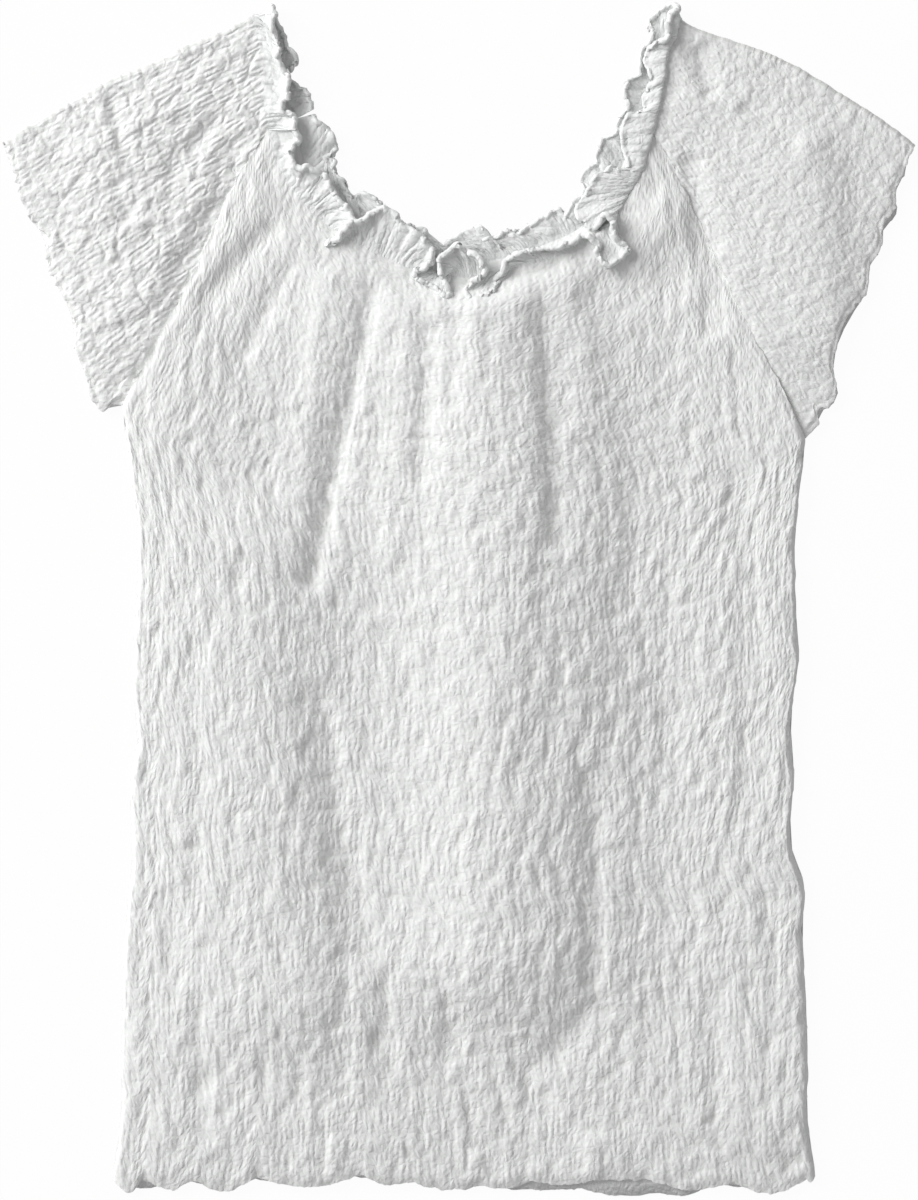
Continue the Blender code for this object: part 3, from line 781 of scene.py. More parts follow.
def makeFront():
    plan, u, p, q, toSide, widthAt = panelGrid(bodyEdges("front", "front", "raglan", 70))
    length, every = bodyValues["length"], bodyValues["every"]
    toHem, down = length - p, p / length
    lift = foldLift(plan, bodyFolds) - dentDepth(plan, hemDents)
    lift *= step(0, clothLayers["foldStart"], p)
    relief, phase, shown = crinkle(u, p, widthAt)
    calm = 1 - bodyValues["calm"] * step(*bodyValues["calmFrom"], plan[..., 1])
    relief, shown = relief * calm, shown * calm
    hem = 1 - step(0.6, bodyValues["hemThin"], toHem)
    top = frontTop + lift + relief * (1 - bodyValues["hemFlat"] * hem)
    dip = bell(toSide / clothLayers["seamDipWidth"]) * (1 - step(*bodyValues["dipEnds"], down))
    top -= clothLayers["seamDip"] * dip
    wave = bodyValues["hemWave"] * noise(q / 7, 0.5, 61) * step(12, 0, toHem)
    top -= bodyValues["hemDrop"] * hem - wave * hem
    top += edgeBead(toHem)
    middle = frontBase - bodyValues["sideRest"]
    top = middle + (top - middle) * sideRoll(toSide, down)
    # the underside follows the folds and keeps clear of the back and of its own top
    under = np.maximum(frontBase + clothLayers["lining"] * lift, frontBase - 0.1)
    under = np.minimum(under, top - 0.5)
    top = np.maximum(top, under + 0.35)
    sway = bodyValues["sway"] * noise(q * 0 + 0.3, p / 6, 62)
    sway += bodyValues["quiver"] * noise(q * 0 + 0.3, p / 2.4, 63)
    sway *= step(*bodyValues["swayStart"], down) * step(8, 0, toSide)
    plan = plan + np.stack([sway * np.sign(u), 0 * p], axis=-1)
    outer, inner = withHeight(plan, top), withHeight(plan, under)
    points, faces = shell(outer, inner, every)
    # painted shade: the colour darkens where the top lies lower than its neighbours
    measures = ribMeasures(hollowness(top, 2, 5), phase, shown * (1 - hem), every)
    uv = onGrid(np.stack([q, p], axis=-1), every)
    piece = addPiece("frontCloth", points, faces, uv, measures, crinkleCloth)
    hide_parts("front")
    return edgeLine(outer[0], inner[0])


def makeBack():
    plan, u, p, q, toSide, widthAt = panelGrid(bodyEdges("back", "back", "raglanBack", 80))
    length, every = bodyValues["length"], bodyValues["every"]
    toHem, thin = length - p, backValues["thin"]
    relief, phase, shown = crinkle(u, p, widthAt, seed=100)
    rise = np.maximum(foldLift(plan, bodyFolds) - dentDepth(plan, hemDents), 0)
    rise *= backValues["foldShare"]
    rise *= (
        step(*backValues["foldNeck"], p) * step(*backValues["foldSides"], toSide)
        * step(*backValues["foldHem"], toHem)
    )
    # its outside is the one it lies on
    under = backValues["outside"] - backValues["relief"] * relief
    under = np.clip(under, 0.0, backValues["deepest"]) + rise
    top = clothLayers["bulk"] + rise
    top -= backValues["hemDrop"] * (1 - step(0.4, 4.0, toHem))
    under = top - thin - (top - thin - under) * sideRoll(toSide, p / length)
    outer, inner = withHeight(plan, under), withHeight(plan, top)
    points, faces = shell(outer, inner, every)
    # painted shade: the colour darkens where its outside, facing down, lies in a hollow
    measures = ribMeasures(hollowness(-under, 2, 5), phase, shown, every)
    uv = onGrid(np.stack([q, p], axis=-1), every)
    piece = addPiece("backCloth", points, faces, uv, measures, crinkleCloth)
    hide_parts("back")
    return edgeLine(inner[0], outer[0])


sleeveValues = {
    "left": {"apex": (300.0, 508.0), "seed": 200, "shown": 0.8, "relief": {"patchLong": 13.0}},
    "right": {
        "apex": (55.0, 339.0), "seed": 300, "shown": 0.7,
        "relief": {
            "pitch": 2.4, "patchWide": 15.0, "patchLong": 9.0, "ridge": 0.3, "puff": 0.6,
            "puffSize": 5.4, "puffShare": 0.7, "dome": 0.9, "tuck": 0.0, "streak": 0.2,
            "lump": 0.3,
        },
    },
    "rows": 193, "columns": 181, "backColumns": 93, "every": 6,
    "foldSteps": 9,  # columns of points round the shoulder fold
    "foldFlat": 0.35,  # how much flatter the crinkles are round it
    "backStart": 0.6,  # how much further on the back's ribs begin
    "reach": 150.0,  # length of the sleeve, and of its cuff, as the edges count it
    "cuffThin": 4.7,  # width of the pressed edge at the cuff
    "cuffFlat": 0.7,
    "cuffDrop": 1.0,
    "cuffWave": 0.9,
    "scallop": 7.5,  # length of a scallop of the cuff
    "scallopDepth": 2.2,
    "thread": 0.6,  # depth of the small turns between
    "shortBy": 1.0,
    "fray": 1.1,  # share of all these
    "backPeeks": 1.6,  # how far the back layer shows beyond the front one
    "backRelief": 0.6,  # share of the crinkles' height on the back layer
    "backSink": 0.05,
    "backFolds": 0.3,  # share of the front's folds it has
}


def unitInwards(line, inside):  # unit vectors square to a line, on the side of a point
    run = np.gradient(line, axis=0)
    square = unit(np.stack([-run[:, 1], run[:, 0]], axis=1))
    facing = np.sign(((np.array(inside) - line) * square).sum(axis=1, keepdims=True))
    return square * facing


def sleeveEdges(seam, neck, cuff, fold):
    # edge lines of one layer; its neck edge and cuff turn in to the ends of the fold
    neckEdge, cuffEdge = lineThrough(neck), lineThrough(cuff)
    neckPoints = neckEdge[1] + neckEdge[0][:, None] * (fold[1][0] - neckEdge[1][-1])
    cuffPoints = cuffEdge[1] + cuffEdge[0][:, None] ** 4 * (fold[1][-1] - cuffEdge[1][-1])
    return (neckEdge[0], neckPoints), (cuffEdge[0], cuffPoints), (along(seam), seam), fold


def cuffFray(s, seed, isBack):
    # scallops are half sine waves of uneven depth, with small turns between them
    turns = s / sleeveValues["scallop"] + 0.8 * noise(s / 11, 0.5, seed + 40)
    uneven = 0.6 + 0.6 * noise(s / 15, 0.5, seed + 44)
    fray = sleeveValues["scallopDepth"] * np.abs(np.sin(math.pi * turns)) * uneven
    fray += sleeveValues["thread"] * noise(s / 2.0, 0.5, seed + 41) - sleeveValues["shortBy"]
    backPeeks = np.where(isBack, sleeveValues["backPeeks"] * noise(s / 11, 0.5, seed + 42), 0.0)
    return fray * sleeveValues["fray"] + backPeeks


def sleeveGrid(side, radius):
    # front layer, the turn round the shoulder fold, and back layer, side by side in one grid.
    # Returns plan points, the ways out of the fold, places across (a) and down (d), angles
    # round the fold, and the widths of the front layer.
    cut, values = sleeveCuts[side], sleeveValues
    parts, shoulder = lineThrough(cut["shoulder"])
    square = unitInwards(shoulder, cut["raglan"][3])
    fold = (parts, shoulder + square * radius)
    down = evenParts(values["rows"], 0.0004)[:, None]
    frontAcross = evenParts(values["columns"], 0.0004)[None, :]
    backAcross = 1 - evenParts(values["backColumns"], 0.0004)[None, :]
    angles = np.linspace(90, -90, values["foldSteps"] + 2)[1:-1]
    layers = []
    for kind, across in (("", frontAcross), ("Back", backAcross)):
        seam = raglanCurve(side, f"raglan{kind}", 700)
        edges = sleeveEdges(seam, cut[f"neck{kind}"], cut["cuff"], fold)
        layers.append(coons(edges, *np.broadcast_arrays(across, down)))
    foldLine = pointAt(fold, down[:, 0])
    foldOut = -pointAt((parts, square), down[:, 0])
    turned = [foldLine[:, None] for _ in angles]
    plan = np.concatenate([layers[0], *turned, layers[1]], axis=1)
    angle = np.radians(np.concatenate([
        np.full(values["columns"], 90.0), angles, np.full(values["backColumns"], -90.0)
    ]))[None, :]
    a = np.concatenate([frontAcross[0], np.ones(len(angles)), backAcross[0]])[None, :]
    d = np.broadcast_to(down, plan.shape[:2])
    outWay = np.broadcast_to(foldOut[:, None], plan.shape)
    width = np.linalg.norm(layers[0][:, -1:] - layers[0][:, :1], axis=-1)
    return plan, outWay, a, d, angle, width


def makeSleeve(side):
    own, values = sleeveValues[side], sleeveValues
    radius, innerRadius = clothLayers["bulk"] + clothLayers["gap"] / 2, clothLayers["gap"] / 2
    plan, outWay, a, d, angle, width = sleeveGrid(side, radius)
    isFront, isBack = angle > np.radians(89), angle < 0
    # ribs spread from the apex: u is their angle there and p the distance from it
    fromApex = plan - np.array(own["apex"])
    p = np.linalg.norm(fromApex, axis=-1)
    u = np.arctan2(fromApex[..., 1], fromApex[..., 0])
    u = u - np.mean(u)
    u = u + np.where(isBack, values["backStart"], 0.0)
    start = p.min()
    relief, phase, shown = crinkle(
        u, p - start, lambda x: np.asarray(x) + start, {**crinkleValues, **own["relief"]},
        own["seed"],
    )
    shown = shown * own["shown"]
    folds = foldLift(plan, sleeveFolds[side])
    lift = folds * isFront
    toSeam, toFold = a * width, (1 - a) * values["reach"]
    toCuff = (1 - d) * values["reach"]
    seam = bell(toSeam / clothLayers["seamDipWidth"])
    edge = 1 - step(0.6, values["cuffThin"], toCuff)
    relief = relief * (1 - values["cuffFlat"] * edge) - clothLayers["seamDip"] * seam
    relief = relief - values["cuffDrop"] * edge + edgeBead(toCuff)
    hollow = values["backFolds"] * np.maximum(folds, 0) * step(4, 16, toSeam) * step(4, 16, toCuff)
    behind = np.minimum(relief * values["backRelief"], 0.0) - values["backSink"]
    behind = behind - hollow * step(4, 16, toFold)
    relief = np.where(isBack, behind, relief + 0.2 + lift)
    # out from the middle between the layers, up in front and down at the back
    nearFold = np.cos(angle) ** 2 * np.ones_like(d)
    reach = radius + relief * (1 - values["foldFlat"] * nearFold)
    z = np.maximum(radius + np.sin(angle) * reach, 0.0)
    xy = plan + outWay * (np.cos(angle) * reach)[..., None]
    cuffWay = plan - np.concatenate([plan[:1], plan[:-1]], axis=0)
    cuffWay[0] = cuffWay[1]
    cuffWay = unit(cuffWay)
    s = a * values["reach"] + np.where(isBack, 400.0, 0.0)
    fray = cuffFray(s, own["seed"], isBack) * edge * np.clip(toSeam / 8, 0, 1)
    xy = xy + cuffWay * fray[..., None]
    wave = values["cuffWave"] * noise(s / 6, 0.5, own["seed"] + 43)
    z = z + np.where(isFront, wave * edge, 0.0)
    inwards(xy, (0, 1), clothLayers["seamShare"])
    inwards(xy, (-1, -2), clothLayers["seamShare"])
    innerZ = radius + np.sin(angle) * innerRadius
    innerZ = innerZ + np.where(isFront, np.maximum(clothLayers["lining"] * lift, 0), 0.0)
    innerZ = np.where(isFront, np.minimum(innerZ, z - 0.4), innerZ)
    innerXy = xy - outWay * (np.cos(angle) * (reach - innerRadius))[..., None]
    outer, inner = withHeight(xy, z), withHeight(innerXy, innerZ)
    every = values["every"]
    points, faces = shell(outer, inner, every)
    height = np.where(isFront, z, relief)
    # painted shade: the colour darkens where the cloth lies lower than its neighbours
    measures = ribMeasures(hollowness(height, 3, 3), phase, shown * (1 - edge), every)
    uv = onGrid(np.stack([u * p, p], axis=-1), every)
    name = f"{side}SleeveCloth"
    piece = addPiece(name, points, faces, uv, measures, crinkleCloth)
    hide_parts(f"sleeve_{side}")
    return edgeLine(outer[0], inner[0])


frillValues = {
    "thick": 1.0,
    "bead": 1.7,  # radius of the overlocked free edge
    "beadPoints": 11,
    "acrossPoints": 15,
    "spacing": 0.55,  # between stations along the free edge
    "stitch": 0.95,  # pitch of the overlock stitches
    "base": -0.03,  # how far from the seam line it starts
    "ruffle": 1.7,  # how far the small lobes of its edge reach
    "inset": 0.5,  # how far the bead's middle stays inside the free edge
    "clearance": 0.85,  # above the panel it lies back over
    "beadClearance": 0.7,  # and more at its bead
    "calm": 0.45,  # how much smoother it lies up the right-hand side
    "calmFrom": (55, 80),
    "beadTurn": 115,  # degrees to each side
    "window": 31,  # stations over which the panel's ribs are told from its folds
}
# parts across, from the seam to the bead: like evenParts, without its last margin
frillAcross = evenParts(frillValues["acrossPoints"] + 1, 0.003)[:-1] / 0.997
frillRelief = {
    **crinkleValues, "pitch": 2.9, "ridge": 0.55, "patchWide": 30.0, "patchLong": 20.0,
    "puff": 0.9, "puffSize": 6.0, "puffShare": 0.5, "dome": 0.8, "tuck": 0.2, "streak": 0.9,
    "lump": 0.9,
}
# Free edge: a row for each turn of its lobes. part is how far along the seam line the cloth
# there comes from, roll how far it leans towards the neck as it leaves the seam (below nothing:
# over the garment), and rise how far it swells up before its edge. A row without these two has
# those of the row before.
frillRows = {
    # part, x, y, z, roll, rise
    "front": (
        (0.000, -86.7, 248.0, 9.6, 5, 1), (0.020, -85.1, 243.8, 9.5), (0.045, -87.7, 239.0, 8.3),
        (0.075, -87.5, 232.7, 8.1), (0.105, -85.6, 228.4, 9.5), (0.130, -78.2, 227.9, 10.0, 6, 1),
        (0.150, -72.3, 225.8, 9.8), (0.170, -68.6, 218.9, 9.1), (0.190, -63.3, 211.5, 8.8),
        (0.215, -57.5, 204.6, 9.1), (0.232, -55.4, 199.8, 8.1, 5, 1),
        (0.242, -60.7, 194.0, 6.7, 4, 1.5), (0.250, -69.2, 188.2, 7.6, 2, 1.5),
        (0.262, -63.9, 192.9, 9.4, 3, 1.5), (0.280, -56.4, 199.8, 10.4, 5, 1.5),
        (0.300, -46.9, 204.6, 11.1, 6, 1.5), (0.320, -39.0, 205.6, 11.3),
        (0.340, -32.6, 200.9, 10.9), (0.365, -25.2, 195.6, 10.6), (0.390, -17.2, 189.2, 10.4),
        (0.410, -13.5, 183.9, 10.6), (0.425, -15.6, 177.6, 10.1, 5, 1.5),
        (0.435, -20.4, 174.4, 9.1, 4, 1.5), (0.442, -25.7, 171.7, 7.6, 3, 1.5),
        (0.450, -20.9, 168.0, 7.1, 2, 1.5), (0.462, -12.5, 163.2, 6.6, 2, 3.5),
        (0.470, -5.6, 160.1, 8.1), (0.478, -7.2, 167.5, 9.6, 4, 3.5),
        (0.487, -10.9, 174.4, 10.6, 6, 3.5), (0.497, -9.3, 181.3, 11.2, 7, 3.5),
        (0.508, -2.4, 186.0, 11.6, 8, 3.5), (0.520, 4.0, 184.4, 11.6), (0.532, 9.8, 179.7, 11.2),
        (0.542, 14.0, 174.9, 10.7, 7, 3.5), (0.548, 11.9, 170.7, 10.1, 6, 3.5),
        (0.553, 6.6, 167.5, 9.4, 5, 3.5), (0.559, 2.4, 163.2, 9.0),
        (0.566, 4.5, 160.1, 9.1, 6, 3.5), (0.576, 10.9, 158.5, 8.4, 5, 2),
        (0.588, 16.2, 160.6, 8.0, 4, 1.5), (0.600, 18.8, 164.8, 7.3),
        (0.612, 20.9, 171.7, 7.9, 5, 1.5), (0.625, 23.1, 177.6, 8.5), (0.640, 27.8, 181.3, 8.9),
        (0.655, 33.1, 183.9, 9.3), (0.670, 38.4, 185.8, 9.3, 6, 1.5), (0.690, 45.3, 186.6, 9.5),
        (0.705, 51.1, 186.0, 9.1), (0.720, 56.4, 187.6, 9.1), (0.735, 61.7, 190.5, 9.3),
        (0.748, 67.0, 192.9, 9.7, 5, 1.5), (0.757, 70.8, 191.3, 9.3, 4, 2),
        (0.765, 72.9, 187.1, 9.2, 2, 2), (0.772, 73.1, 181.8, 8.2, 1, 3),
        (0.780, 76.1, 178.1, 8.0, 0, 3), (0.790, 81.9, 177.6, 8.2, -1, 3),
        (0.800, 87.2, 180.7, 8.6, -2, 3), (0.810, 89.3, 185.5, 9.2, -3, 3),
        (0.818, 85.6, 189.7, 10.0, -4, 2), (0.825, 81.9, 194.0, 10.6),
        (0.831, 80.3, 199.3, 11.0, -5, 2), (0.837, 77.4, 203.0, 10.6),
        (0.843, 74.5, 200.9, 9.4, -4, 2), (0.850, 72.9, 196.6, 8.0, -4, 3),
        (0.857, 69.2, 197.2, 5.0, -4, 5.2), (0.865, 64.9, 201.9, 4.4),
        (0.873, 62.3, 207.8, 4.4, -4, 3.4), (0.884, 65.5, 214.7, 5.0, -5, 3.4),
        (0.894, 69.7, 218.9, 5.8, -6, 3.4), (0.904, 74.5, 224.2, 6.2, -7, 3.4),
        (0.914, 80.8, 227.4, 6.2), (0.924, 85.1, 225.8, 5.4), (0.936, 88.0, 229.8, 5.0),
        (0.950, 88.0, 233.7, 5.2, -8, 3.4), (0.970, 86.7, 238.0, 5.6, -9, 3.4),
        (1.000, 86.1, 243.2, 5.6, -10, 3.4),
    ),
    "back": (
        (0.000, -77.4, 257.0, 1.8, 6, 1), (0.035, -75.8, 254.0, 2.2), (0.080, -69.2, 249.0, 1.8),
        (0.115, -66.0, 241.5, 2.4), (0.135, -66.8, 235.8, 1.6), (0.150, -71.5, 234.2, 1.5),
        (0.165, -71.0, 232.6, 1.6), (0.180, -67.4, 231.6, 2.2), (0.205, -66.2, 227.4, 1.8),
        (0.235, -61.2, 222.2, 2.4), (0.270, -60.4, 215.8, 1.6), (0.295, -56.0, 214.0, 1.6),
        (0.325, -49.5, 216.0, 2.4), (0.355, -44.2, 212.0, 2.0), (0.390, -38.6, 207.6, 2.0),
        (0.425, -32.0, 200.6, 1.7), (0.455, -23.8, 197.0, 2.2), (0.475, -19.0, 195.6, 2.2),
        (0.490, -18.6, 192.2, 1.5), (0.505, -13.6, 187.2, 1.3, 5, 1), (0.520, -7.0, 187.6, 1.5),
        (0.530, -6.6, 190.0, 3.0, 6, 2), (0.545, -1.2, 193.6, 3.6), (0.560, 4.6, 196.6, 3.6),
        (0.580, 11.4, 196.4, 3.4), (0.592, 12.8, 191.0, 2.2, 5, 1), (0.604, 16.6, 191.4, 2.4),
        (0.622, 22.6, 194.8, 3.4, 6, 2), (0.640, 28.8, 195.4, 2.8), (0.655, 32.4, 194.6, 2.2),
        (0.675, 37.0, 197.8, 2.8), (0.700, 44.4, 202.0, 2.8), (0.725, 52.0, 206.6, 2.4),
        (0.745, 57.5, 205.1, 2.2), (0.765, 59.6, 211.5, 2.2), (0.785, 63.9, 213.6, 2.4),
        (0.815, 64.4, 222.1, 3.0), (0.840, 66.5, 227.9, 3.0), (0.860, 71.8, 230.0, 2.0),
        (0.885, 72.3, 236.4, 2.6), (0.915, 74.5, 243.3, 3.0), (0.945, 80.3, 246.5, 2.2),
        (0.970, 82.9, 250.7, 2.0), (1.000, 85.1, 254.9, 2.2),
    ),
    "left": (
        (0.00, -86.7, 248.2, 9.9, 5, 1), (0.05, -88.2, 255.4, 9.5),
        (0.09, -93.6, 258.8, 8.1, 4, 1), (0.13, -92.6, 262.4, 8.6, 5, 1),
        (0.18, -88.8, 266.4, 9.6, 6, 1), (0.24, -89.6, 271.6, 8.8), (0.30, -91.0, 277.6, 8.8),
        (0.37, -94.2, 283.8, 9.2, 5, 1), (0.43, -94.8, 291.6, 9.6), (0.48, -97.4, 300.4, 9.0),
        (0.53, -98.6, 309.0, 8.6), (0.57, -101.4, 314.6, 4.0, 4, 2),
        (0.61, -99.6, 310.6, 2.4, 4, 1), (0.66, -96.0, 304.6, 1.6, 5, 0),
        (0.73, -91.0, 292.6, 1.8, 6, 0), (0.78, -86.6, 284.6, 2.2, 6, 1),
        (0.82, -90.6, 279.4, 1.5, 5, 0), (0.87, -87.2, 273.2, 2.2, 6, 1),
        (0.91, -82.6, 269.4, 2.2), (0.95, -79.6, 263.6, 1.8), (1.00, -78.2, 259.6, 1.6, 6, 0),
    ),
    "right": (
        (0.00, 86.1, 243.4, 5.6, -10, 3.4), (0.04, 86.7, 249.6, 5.8), (0.08, 89.6, 255.4, 5.8),
        (0.11, 95.2, 256.5, 5.6, -9, 3.4), (0.14, 99.0, 258.6, 5.0), (0.18, 98.0, 263.4, 4.6),
        (0.23, 100.4, 270.8, 4.8, -10, 3.4), (0.28, 102.4, 277.7, 4.8),
        (0.32, 100.5, 282.4, 4.6, -11, 3.4), (0.36, 99.4, 289.4, 5.0, -12, 3.4),
        (0.40, 103.0, 294.8, 8.4, -13, 4), (0.44, 108.6, 297.6, 10.4, -14, 4),
        (0.47, 109.6, 303.6, 11.0, -14, 3), (0.50, 111.6, 309.6, 10.6),
        (0.53, 116.4, 312.6, 9.2, -12, 3), (0.56, 114.6, 315.0, 6.6, -6, 2),
        (0.59, 109.6, 316.0, 4.0, 0, 2), (0.63, 106.0, 312.4, 2.6, 4, 1),
        (0.67, 101.6, 305.8, 2.0, 5, 1), (0.71, 101.2, 296.6, 2.2, 6, 1),
        (0.75, 96.9, 292.4, 2.6, 6, 2), (0.79, 96.2, 284.8, 2.2), (0.82, 95.4, 277.6, 1.8),
        (0.86, 90.4, 275.2, 2.6), (0.90, 87.2, 268.6, 3.0), (0.94, 88.2, 261.0, 2.4),
        (1.00, 85.3, 255.4, 2.2),
    ),
}


def frillEdge(rows, seed):
    # even stations along the free edge: their distance along it, places and row measures
    last, table = (), []
    for row in rows:
        last = row[4:] or last
        table.append(row[:4] + last)
    table = np.array(table, dtype=float)
    order = table[:, [1, 2, 3, 0, 4, 5]]
    smooth = cubicThrough(along(table[:, 1:4]), order, 24 * len(order))
    steps = np.linalg.norm(np.diff(smooth[:, :3], axis=0), axis=1)
    length = steps.sum()
    parts = np.concatenate([[0.0], np.cumsum(steps)]) / length
    even = evenParts(int(length / frillValues["spacing"]), 0.05 / length)
    smooth = np.stack([np.interp(even, parts, c) for c in smooth.T], axis=-1)
    small = length * even[:, None]
    ends = step(0, 6, small) * step(0, 6, length - small) * frillValues["ruffle"]
    lobes = (1, 7, 1, 5), (0.4, 2.6, 1, 6)
    ruffle = ends * np.concatenate([
        waves(lobes, small, 0.5, seed), waves(lobes, small, 5.5, seed),
        waves([(1.2, 5, 1, 5)], small, 9.5, seed),
    ], axis=1)
    part = np.clip(np.maximum.accumulate(smooth[:, 3]), 0, 1)
    return length * even, smooth[:, :3] + ruffle, part, smooth[:, 4:5], smooth[:, 5:6]


def frillBand(seam, rows, seed, folds):
    # middle surface: a cubic from the seam to each station of the free edge
    s, edge, part, roll, rise = frillEdge(rows, seed)
    line = seam[1]
    way = unitInwards(line[:, :2], neckline["middle"])
    way = np.concatenate([way, 0 * way[:, :1]], axis=1)
    toMiddle = unit(np.array([*neckline["middle"], 0.0]) - line * (1, 1, 0))
    square = (step(0, 0.1, seam[0]) * step(0, 0.1, 1 - seam[0]))[:, None]
    way = unit(way * square + toMiddle * (1 - square))
    base, lean = pointAt(seam[:2], part), pointAt((seam[0], way), part)
    base = base + lean * frillValues["base"]
    up = np.array([0.0, 0.0, 1.0])
    edge = edge - frillValues["inset"] * unit(edge - base)
    back = np.minimum(roll, 0)  # where it rolls over the panel it also stands up
    first = base + lean * (roll - 0.4 * back) + up * (0.1 * roll - 0.44 * back)
    level = np.concatenate([(edge - base)[:, :2], 0 * roll], axis=1)
    second = base + level * 0.62 + up * rise
    t = frillAcross[:, None, None]
    grid = (
        (1 - t) ** 3 * base + 3 * t * (1 - t) ** 2 * first
        + 3 * t**2 * (1 - t) * second + t**3 * edge
    )
    # where it lies back over its panel it rests on the panel's folds
    beyond = ((base - grid) * lean).sum(axis=-1)
    lowest = frontTop + foldLift(grid[..., :2], folds) * step(0, clothLayers["foldStart"], beyond)
    lowest += frillValues["clearance"] + frillValues["beadClearance"] * t[..., 0] ** 2
    onPanel = step(0.2, 2.0, beyond) * step(3.0, 4.4, base[:, 2])
    grid[..., 2] += onPanel * np.maximum(lowest - grid[..., 2], 0)
    return np.swapaxes(grid, 0, 1), s, pointAt((seam[0], seam[2]), part)


def normals(grid):
    return unit(np.cross(np.gradient(grid, axis=0), np.gradient(grid, axis=1)))


def distanceAcross(grid):  # of each point from the first of its row
    steps = np.linalg.norm(np.diff(grid, axis=1), axis=-1)
    return np.concatenate([np.zeros((len(grid), 1)), np.cumsum(steps, axis=1)], axis=1)


def frillGathers(grid, s, seed):
    # the same crinkles, square to the edge and sinking towards it
    v = frillAcross[None, :]
    sGrid = np.broadcast_to(s[:, None], grid.shape[:2])
    gathers, phase, shown = crinkle(
        sGrid, distanceAcross(grid), lambda x: 1 + 0 * x, frillRelief, seed
    )
    ends = step(0, 4, sGrid) * step(0, 4, s[-1] - sGrid)
    calm = 1 - frillValues["calm"] * step(*frillValues["calmFrom"], grid[..., 0])
    gathers = (gathers - 0.5) * step(0.0, 0.35, v) * (1 - 0.3 * v) * ends * calm
    # the panel's ribs run on into it and fade
    seamHeight, window = grid[:, 0, 2], frillValues["window"]
    padded = np.pad(seamHeight, window // 2, mode="edge")
    level = np.convolve(padded, np.ones(window) / window, mode="valid")
    gathers = gathers + (seamHeight - level)[:, None] * ((1 - v) ** 1.5 - (1 - v) ** 3)
    return gathers, phase, unbroken(phase, shown) * (1 - 0.5 * v)


def tubeFaces(stations, around):
    # sides of a tube of point rows, its back against the seam, and a fan over each end
    index = np.arange(stations * around).reshape(stations, around)
    sides = np.stack(
        [index[:-1, :-1], index[1:, :-1], index[1:, 1:], index[:-1, 1:]], axis=-1
    ).reshape(-1, 4)
    back = [index[:-1, -1], index[1:, -1], index[1:, 0], index[:-1, 0]]
    backs = [np.stack(back[:3], axis=-1), np.stack([back[0], back[2], back[3]], axis=-1)]
    fan = np.arange(1, around - 1)
    first = np.stack([index[0, 0] + 0 * fan, index[0, fan], index[0, fan + 1]], axis=-1)
    last = np.stack([index[-1, 0] + 0 * fan, index[-1, fan + 1], index[-1, fan]], axis=-1)
    return [sides, first, last, *backs]


def roundBead(over, bead, under):  # rows over the cloth, round its bead and back beneath
    return np.concatenate([over[:, :-1], bead, under[:, -2::-1]], axis=1)


def makeFrill(name, nodeName, seam, rows, seed, folds=()):
    grid, s, out = frillBand(seam, rows, seed, folds)
    gathers, phase, shown = frillGathers(grid, s, seed)
    way = normals(grid)
    facing = np.sign((way[:, 1] * out).sum())
    grid = grid + way * facing * gathers[..., None]
    # at the seam its thickness stands square to the panel
    turned = step(0.0, 0.14, frillAcross[None, :])[..., None]
    way = unit(out[:, None] * (1 - turned) + normals(grid) * facing * turned)
    half = frillValues["thick"] / 2
    onward = unit(grid[:, -1] - grid[:, -2])
    ends = frillValues["beadTurn"]
    turn = np.radians(np.linspace(ends, -ends, frillValues["beadPoints"]))[None, :, None]
    stitches = np.sin(2 * math.pi * (s[:, None, None] / frillValues["stitch"]) + 1.5 * turn)
    uneven = noise(s / 3.0, 0.5, seed + 2)[:, None, None]
    radius = frillValues["bead"] * (1 + 0.05 * stitches + 0.12 * uneven)
    ring = grid[:, -1][:, None] + radius * (
        np.cos(turn) * onward[:, None] + np.sin(turn) * way[:, -1][:, None]
    )
    profile = roundBead(grid + way * half, ring, grid - way * half)
    profile[..., 2] = np.maximum(profile[..., 2], 0.0)
    t = distanceAcross(profile)
    uv = np.stack([np.broadcast_to(s[:, None], t.shape), t], axis=-1).reshape(-1, 2)
    flat = 0 * ring[..., 0]
    # painted shade: the colour darkens where the gathers sink, and the bead stays at its lightest
    lumps = roundBead(gathers, flat + 0.6, gathers)
    measures = {
        "crease": np.clip(0.2 - lumps, -0.2, 1.0),
        "phase": roundBead(phase, phase[:, -1:] + flat, phase),
        "shown": roundBead(shown, flat, shown),
    }
    measures = {key: values.reshape(-1) for key, values in measures.items()}
    faces = tubeFaces(*profile.shape[:2])
    piece = addPiece(name, profile.reshape(-1, 3), faces, uv, measures, frillCloth)
    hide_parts(nodeName)
    s[-1] * 0.001


sceneValues = {
    # places and sizes in metres
    "floorReach": 8.0,
    "floorDepth": 0.0004,
    "floorColour": (0.86, 0.86, 0.86, 1.0),
    "floorWhite": 0.96,  # share of plain white in what the camera sees of the floor
    "ambient": (0.345, 0.345, 0.345, 1.0),
    "keyPlace": (-3.00, 1.75, 2.05),
    "keySize": 3.0,
    "keyPower": 176.0,
    "cameraPlace": (-0.0003, -0.0005, 2.390),
    "lens": 135.0,
}


def seenBy(nodes):  # 1 for rays from the camera, and for those that gloss or glass sends on
    camera, gloss, glass = (
        nodes.node("ShaderNodeLightPath", {}, {}, output=f"Is {ray} Ray")
        for ray in ("Camera", "Glossy", "Transmission")
    )
    return nodes.math("MAXIMUM", nodes.math("MAXIMUM", camera, gloss), glass)


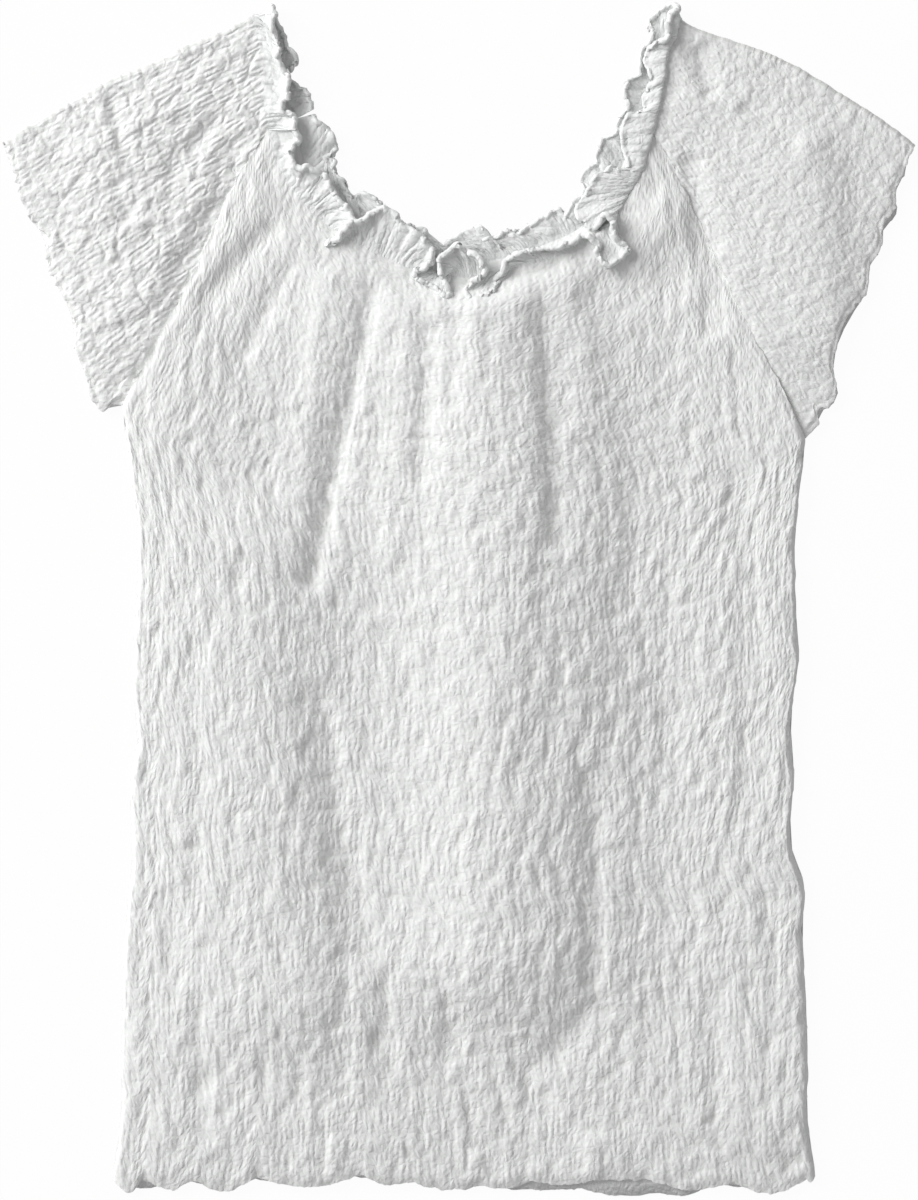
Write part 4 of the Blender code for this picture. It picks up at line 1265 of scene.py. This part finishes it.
def makeFloor():
    mesh = bpy.data.meshes.new("floor")
    reach, z = sceneValues["floorReach"], -sceneValues["floorDepth"]
    corners = [(x * reach, y * reach, z) for x, y in ((-1, -1), (1, -1), (1, 1), (-1, 1))]
    mesh.from_pydata(corners, [], [(0, 1, 2, 3)])
    floor = bpy.data.objects.new("floor", mesh)
    bpy.context.scene.collection.objects.link(floor)
    material = bpy.data.materials.new("floorWhite")
    finish = Nodes(material)
    finish.set("Principled BSDF", {
        "Base Color": sceneValues["floorColour"], "Roughness": 1.0, "Specular IOR Level": 0.0,
    })
    white = finish.node("ShaderNodeEmission", {}, {})
    share = seenBy(finish) * sceneValues["floorWhite"]
    mix = finish.node(
        "ShaderNodeMixShader", {}, {0: share, 1: finish.first("Principled BSDF"), 2: white}
    )
    finish.set("Material Output", {"Surface": mix})
    mesh.materials.append(material)


def makeLight():
    world = bpy.data.worlds.new("studio")
    bpy.context.scene.world = world
    sky = Nodes(world)
    sky.set("Background", {"Color": sceneValues["ambient"]})
    white = sky.node("ShaderNodeBackground", {}, {"Color": (1.0, 1.0, 1.0, 1.0)})
    mix = sky.node(
        "ShaderNodeMixShader", {}, {0: seenBy(sky), 1: sky.first("Background"), 2: white}
    )
    sky.set("World Output", {"Surface": mix})

    lamp = bpy.data.lights.new("key", "AREA")
    lamp.shape, lamp.size, lamp.energy = "DISK", sceneValues["keySize"], sceneValues["keyPower"]
    key = bpy.data.objects.new("key", lamp)
    bpy.context.scene.collection.objects.link(key)
    key.location = x, y, z = sceneValues["keyPlace"]
    key.rotation_euler = (math.atan2(math.hypot(x, y), z), 0.0, math.atan2(y, x) + math.pi / 2)


def makeCamera():
    lens = bpy.data.cameras.new("camera")
    lens.lens, lens.sensor_width = sceneValues["lens"], 36.0
    lens.clip_end = 50.0
    camera = bpy.data.objects.new("camera", lens)
    camera.location = sceneValues["cameraPlace"]
    bpy.context.scene.collection.objects.link(camera)
    bpy.context.scene.camera = camera
    bpy.context.scene.view_settings.view_transform = "Standard"


makeCamera()
makeFloor()
makeLight()
print("floor, light and camera made")
neckSeams = {"back": makeBack(), "front": makeFront()}
for side in ("left", "right"):
    neckSeams[side] = makeSleeve(side)
print("panels made")
makeFrill(
    "frontFrill", "frill_front", neckSeams["front"], frillRows["front"], 400,
    bodyFolds,
)
makeFrill("backFrill", "frill_back", neckSeams["back"], frillRows["back"], 410)
for side in ("left", "right"):
    makeFrill(
        f"{side}SleeveFrill", f"frill_sleeve_{side}", neckSeams[side], frillRows[side],
        420 if side == "left" else 430, sleeveFolds[side],
    )
print("frill made")
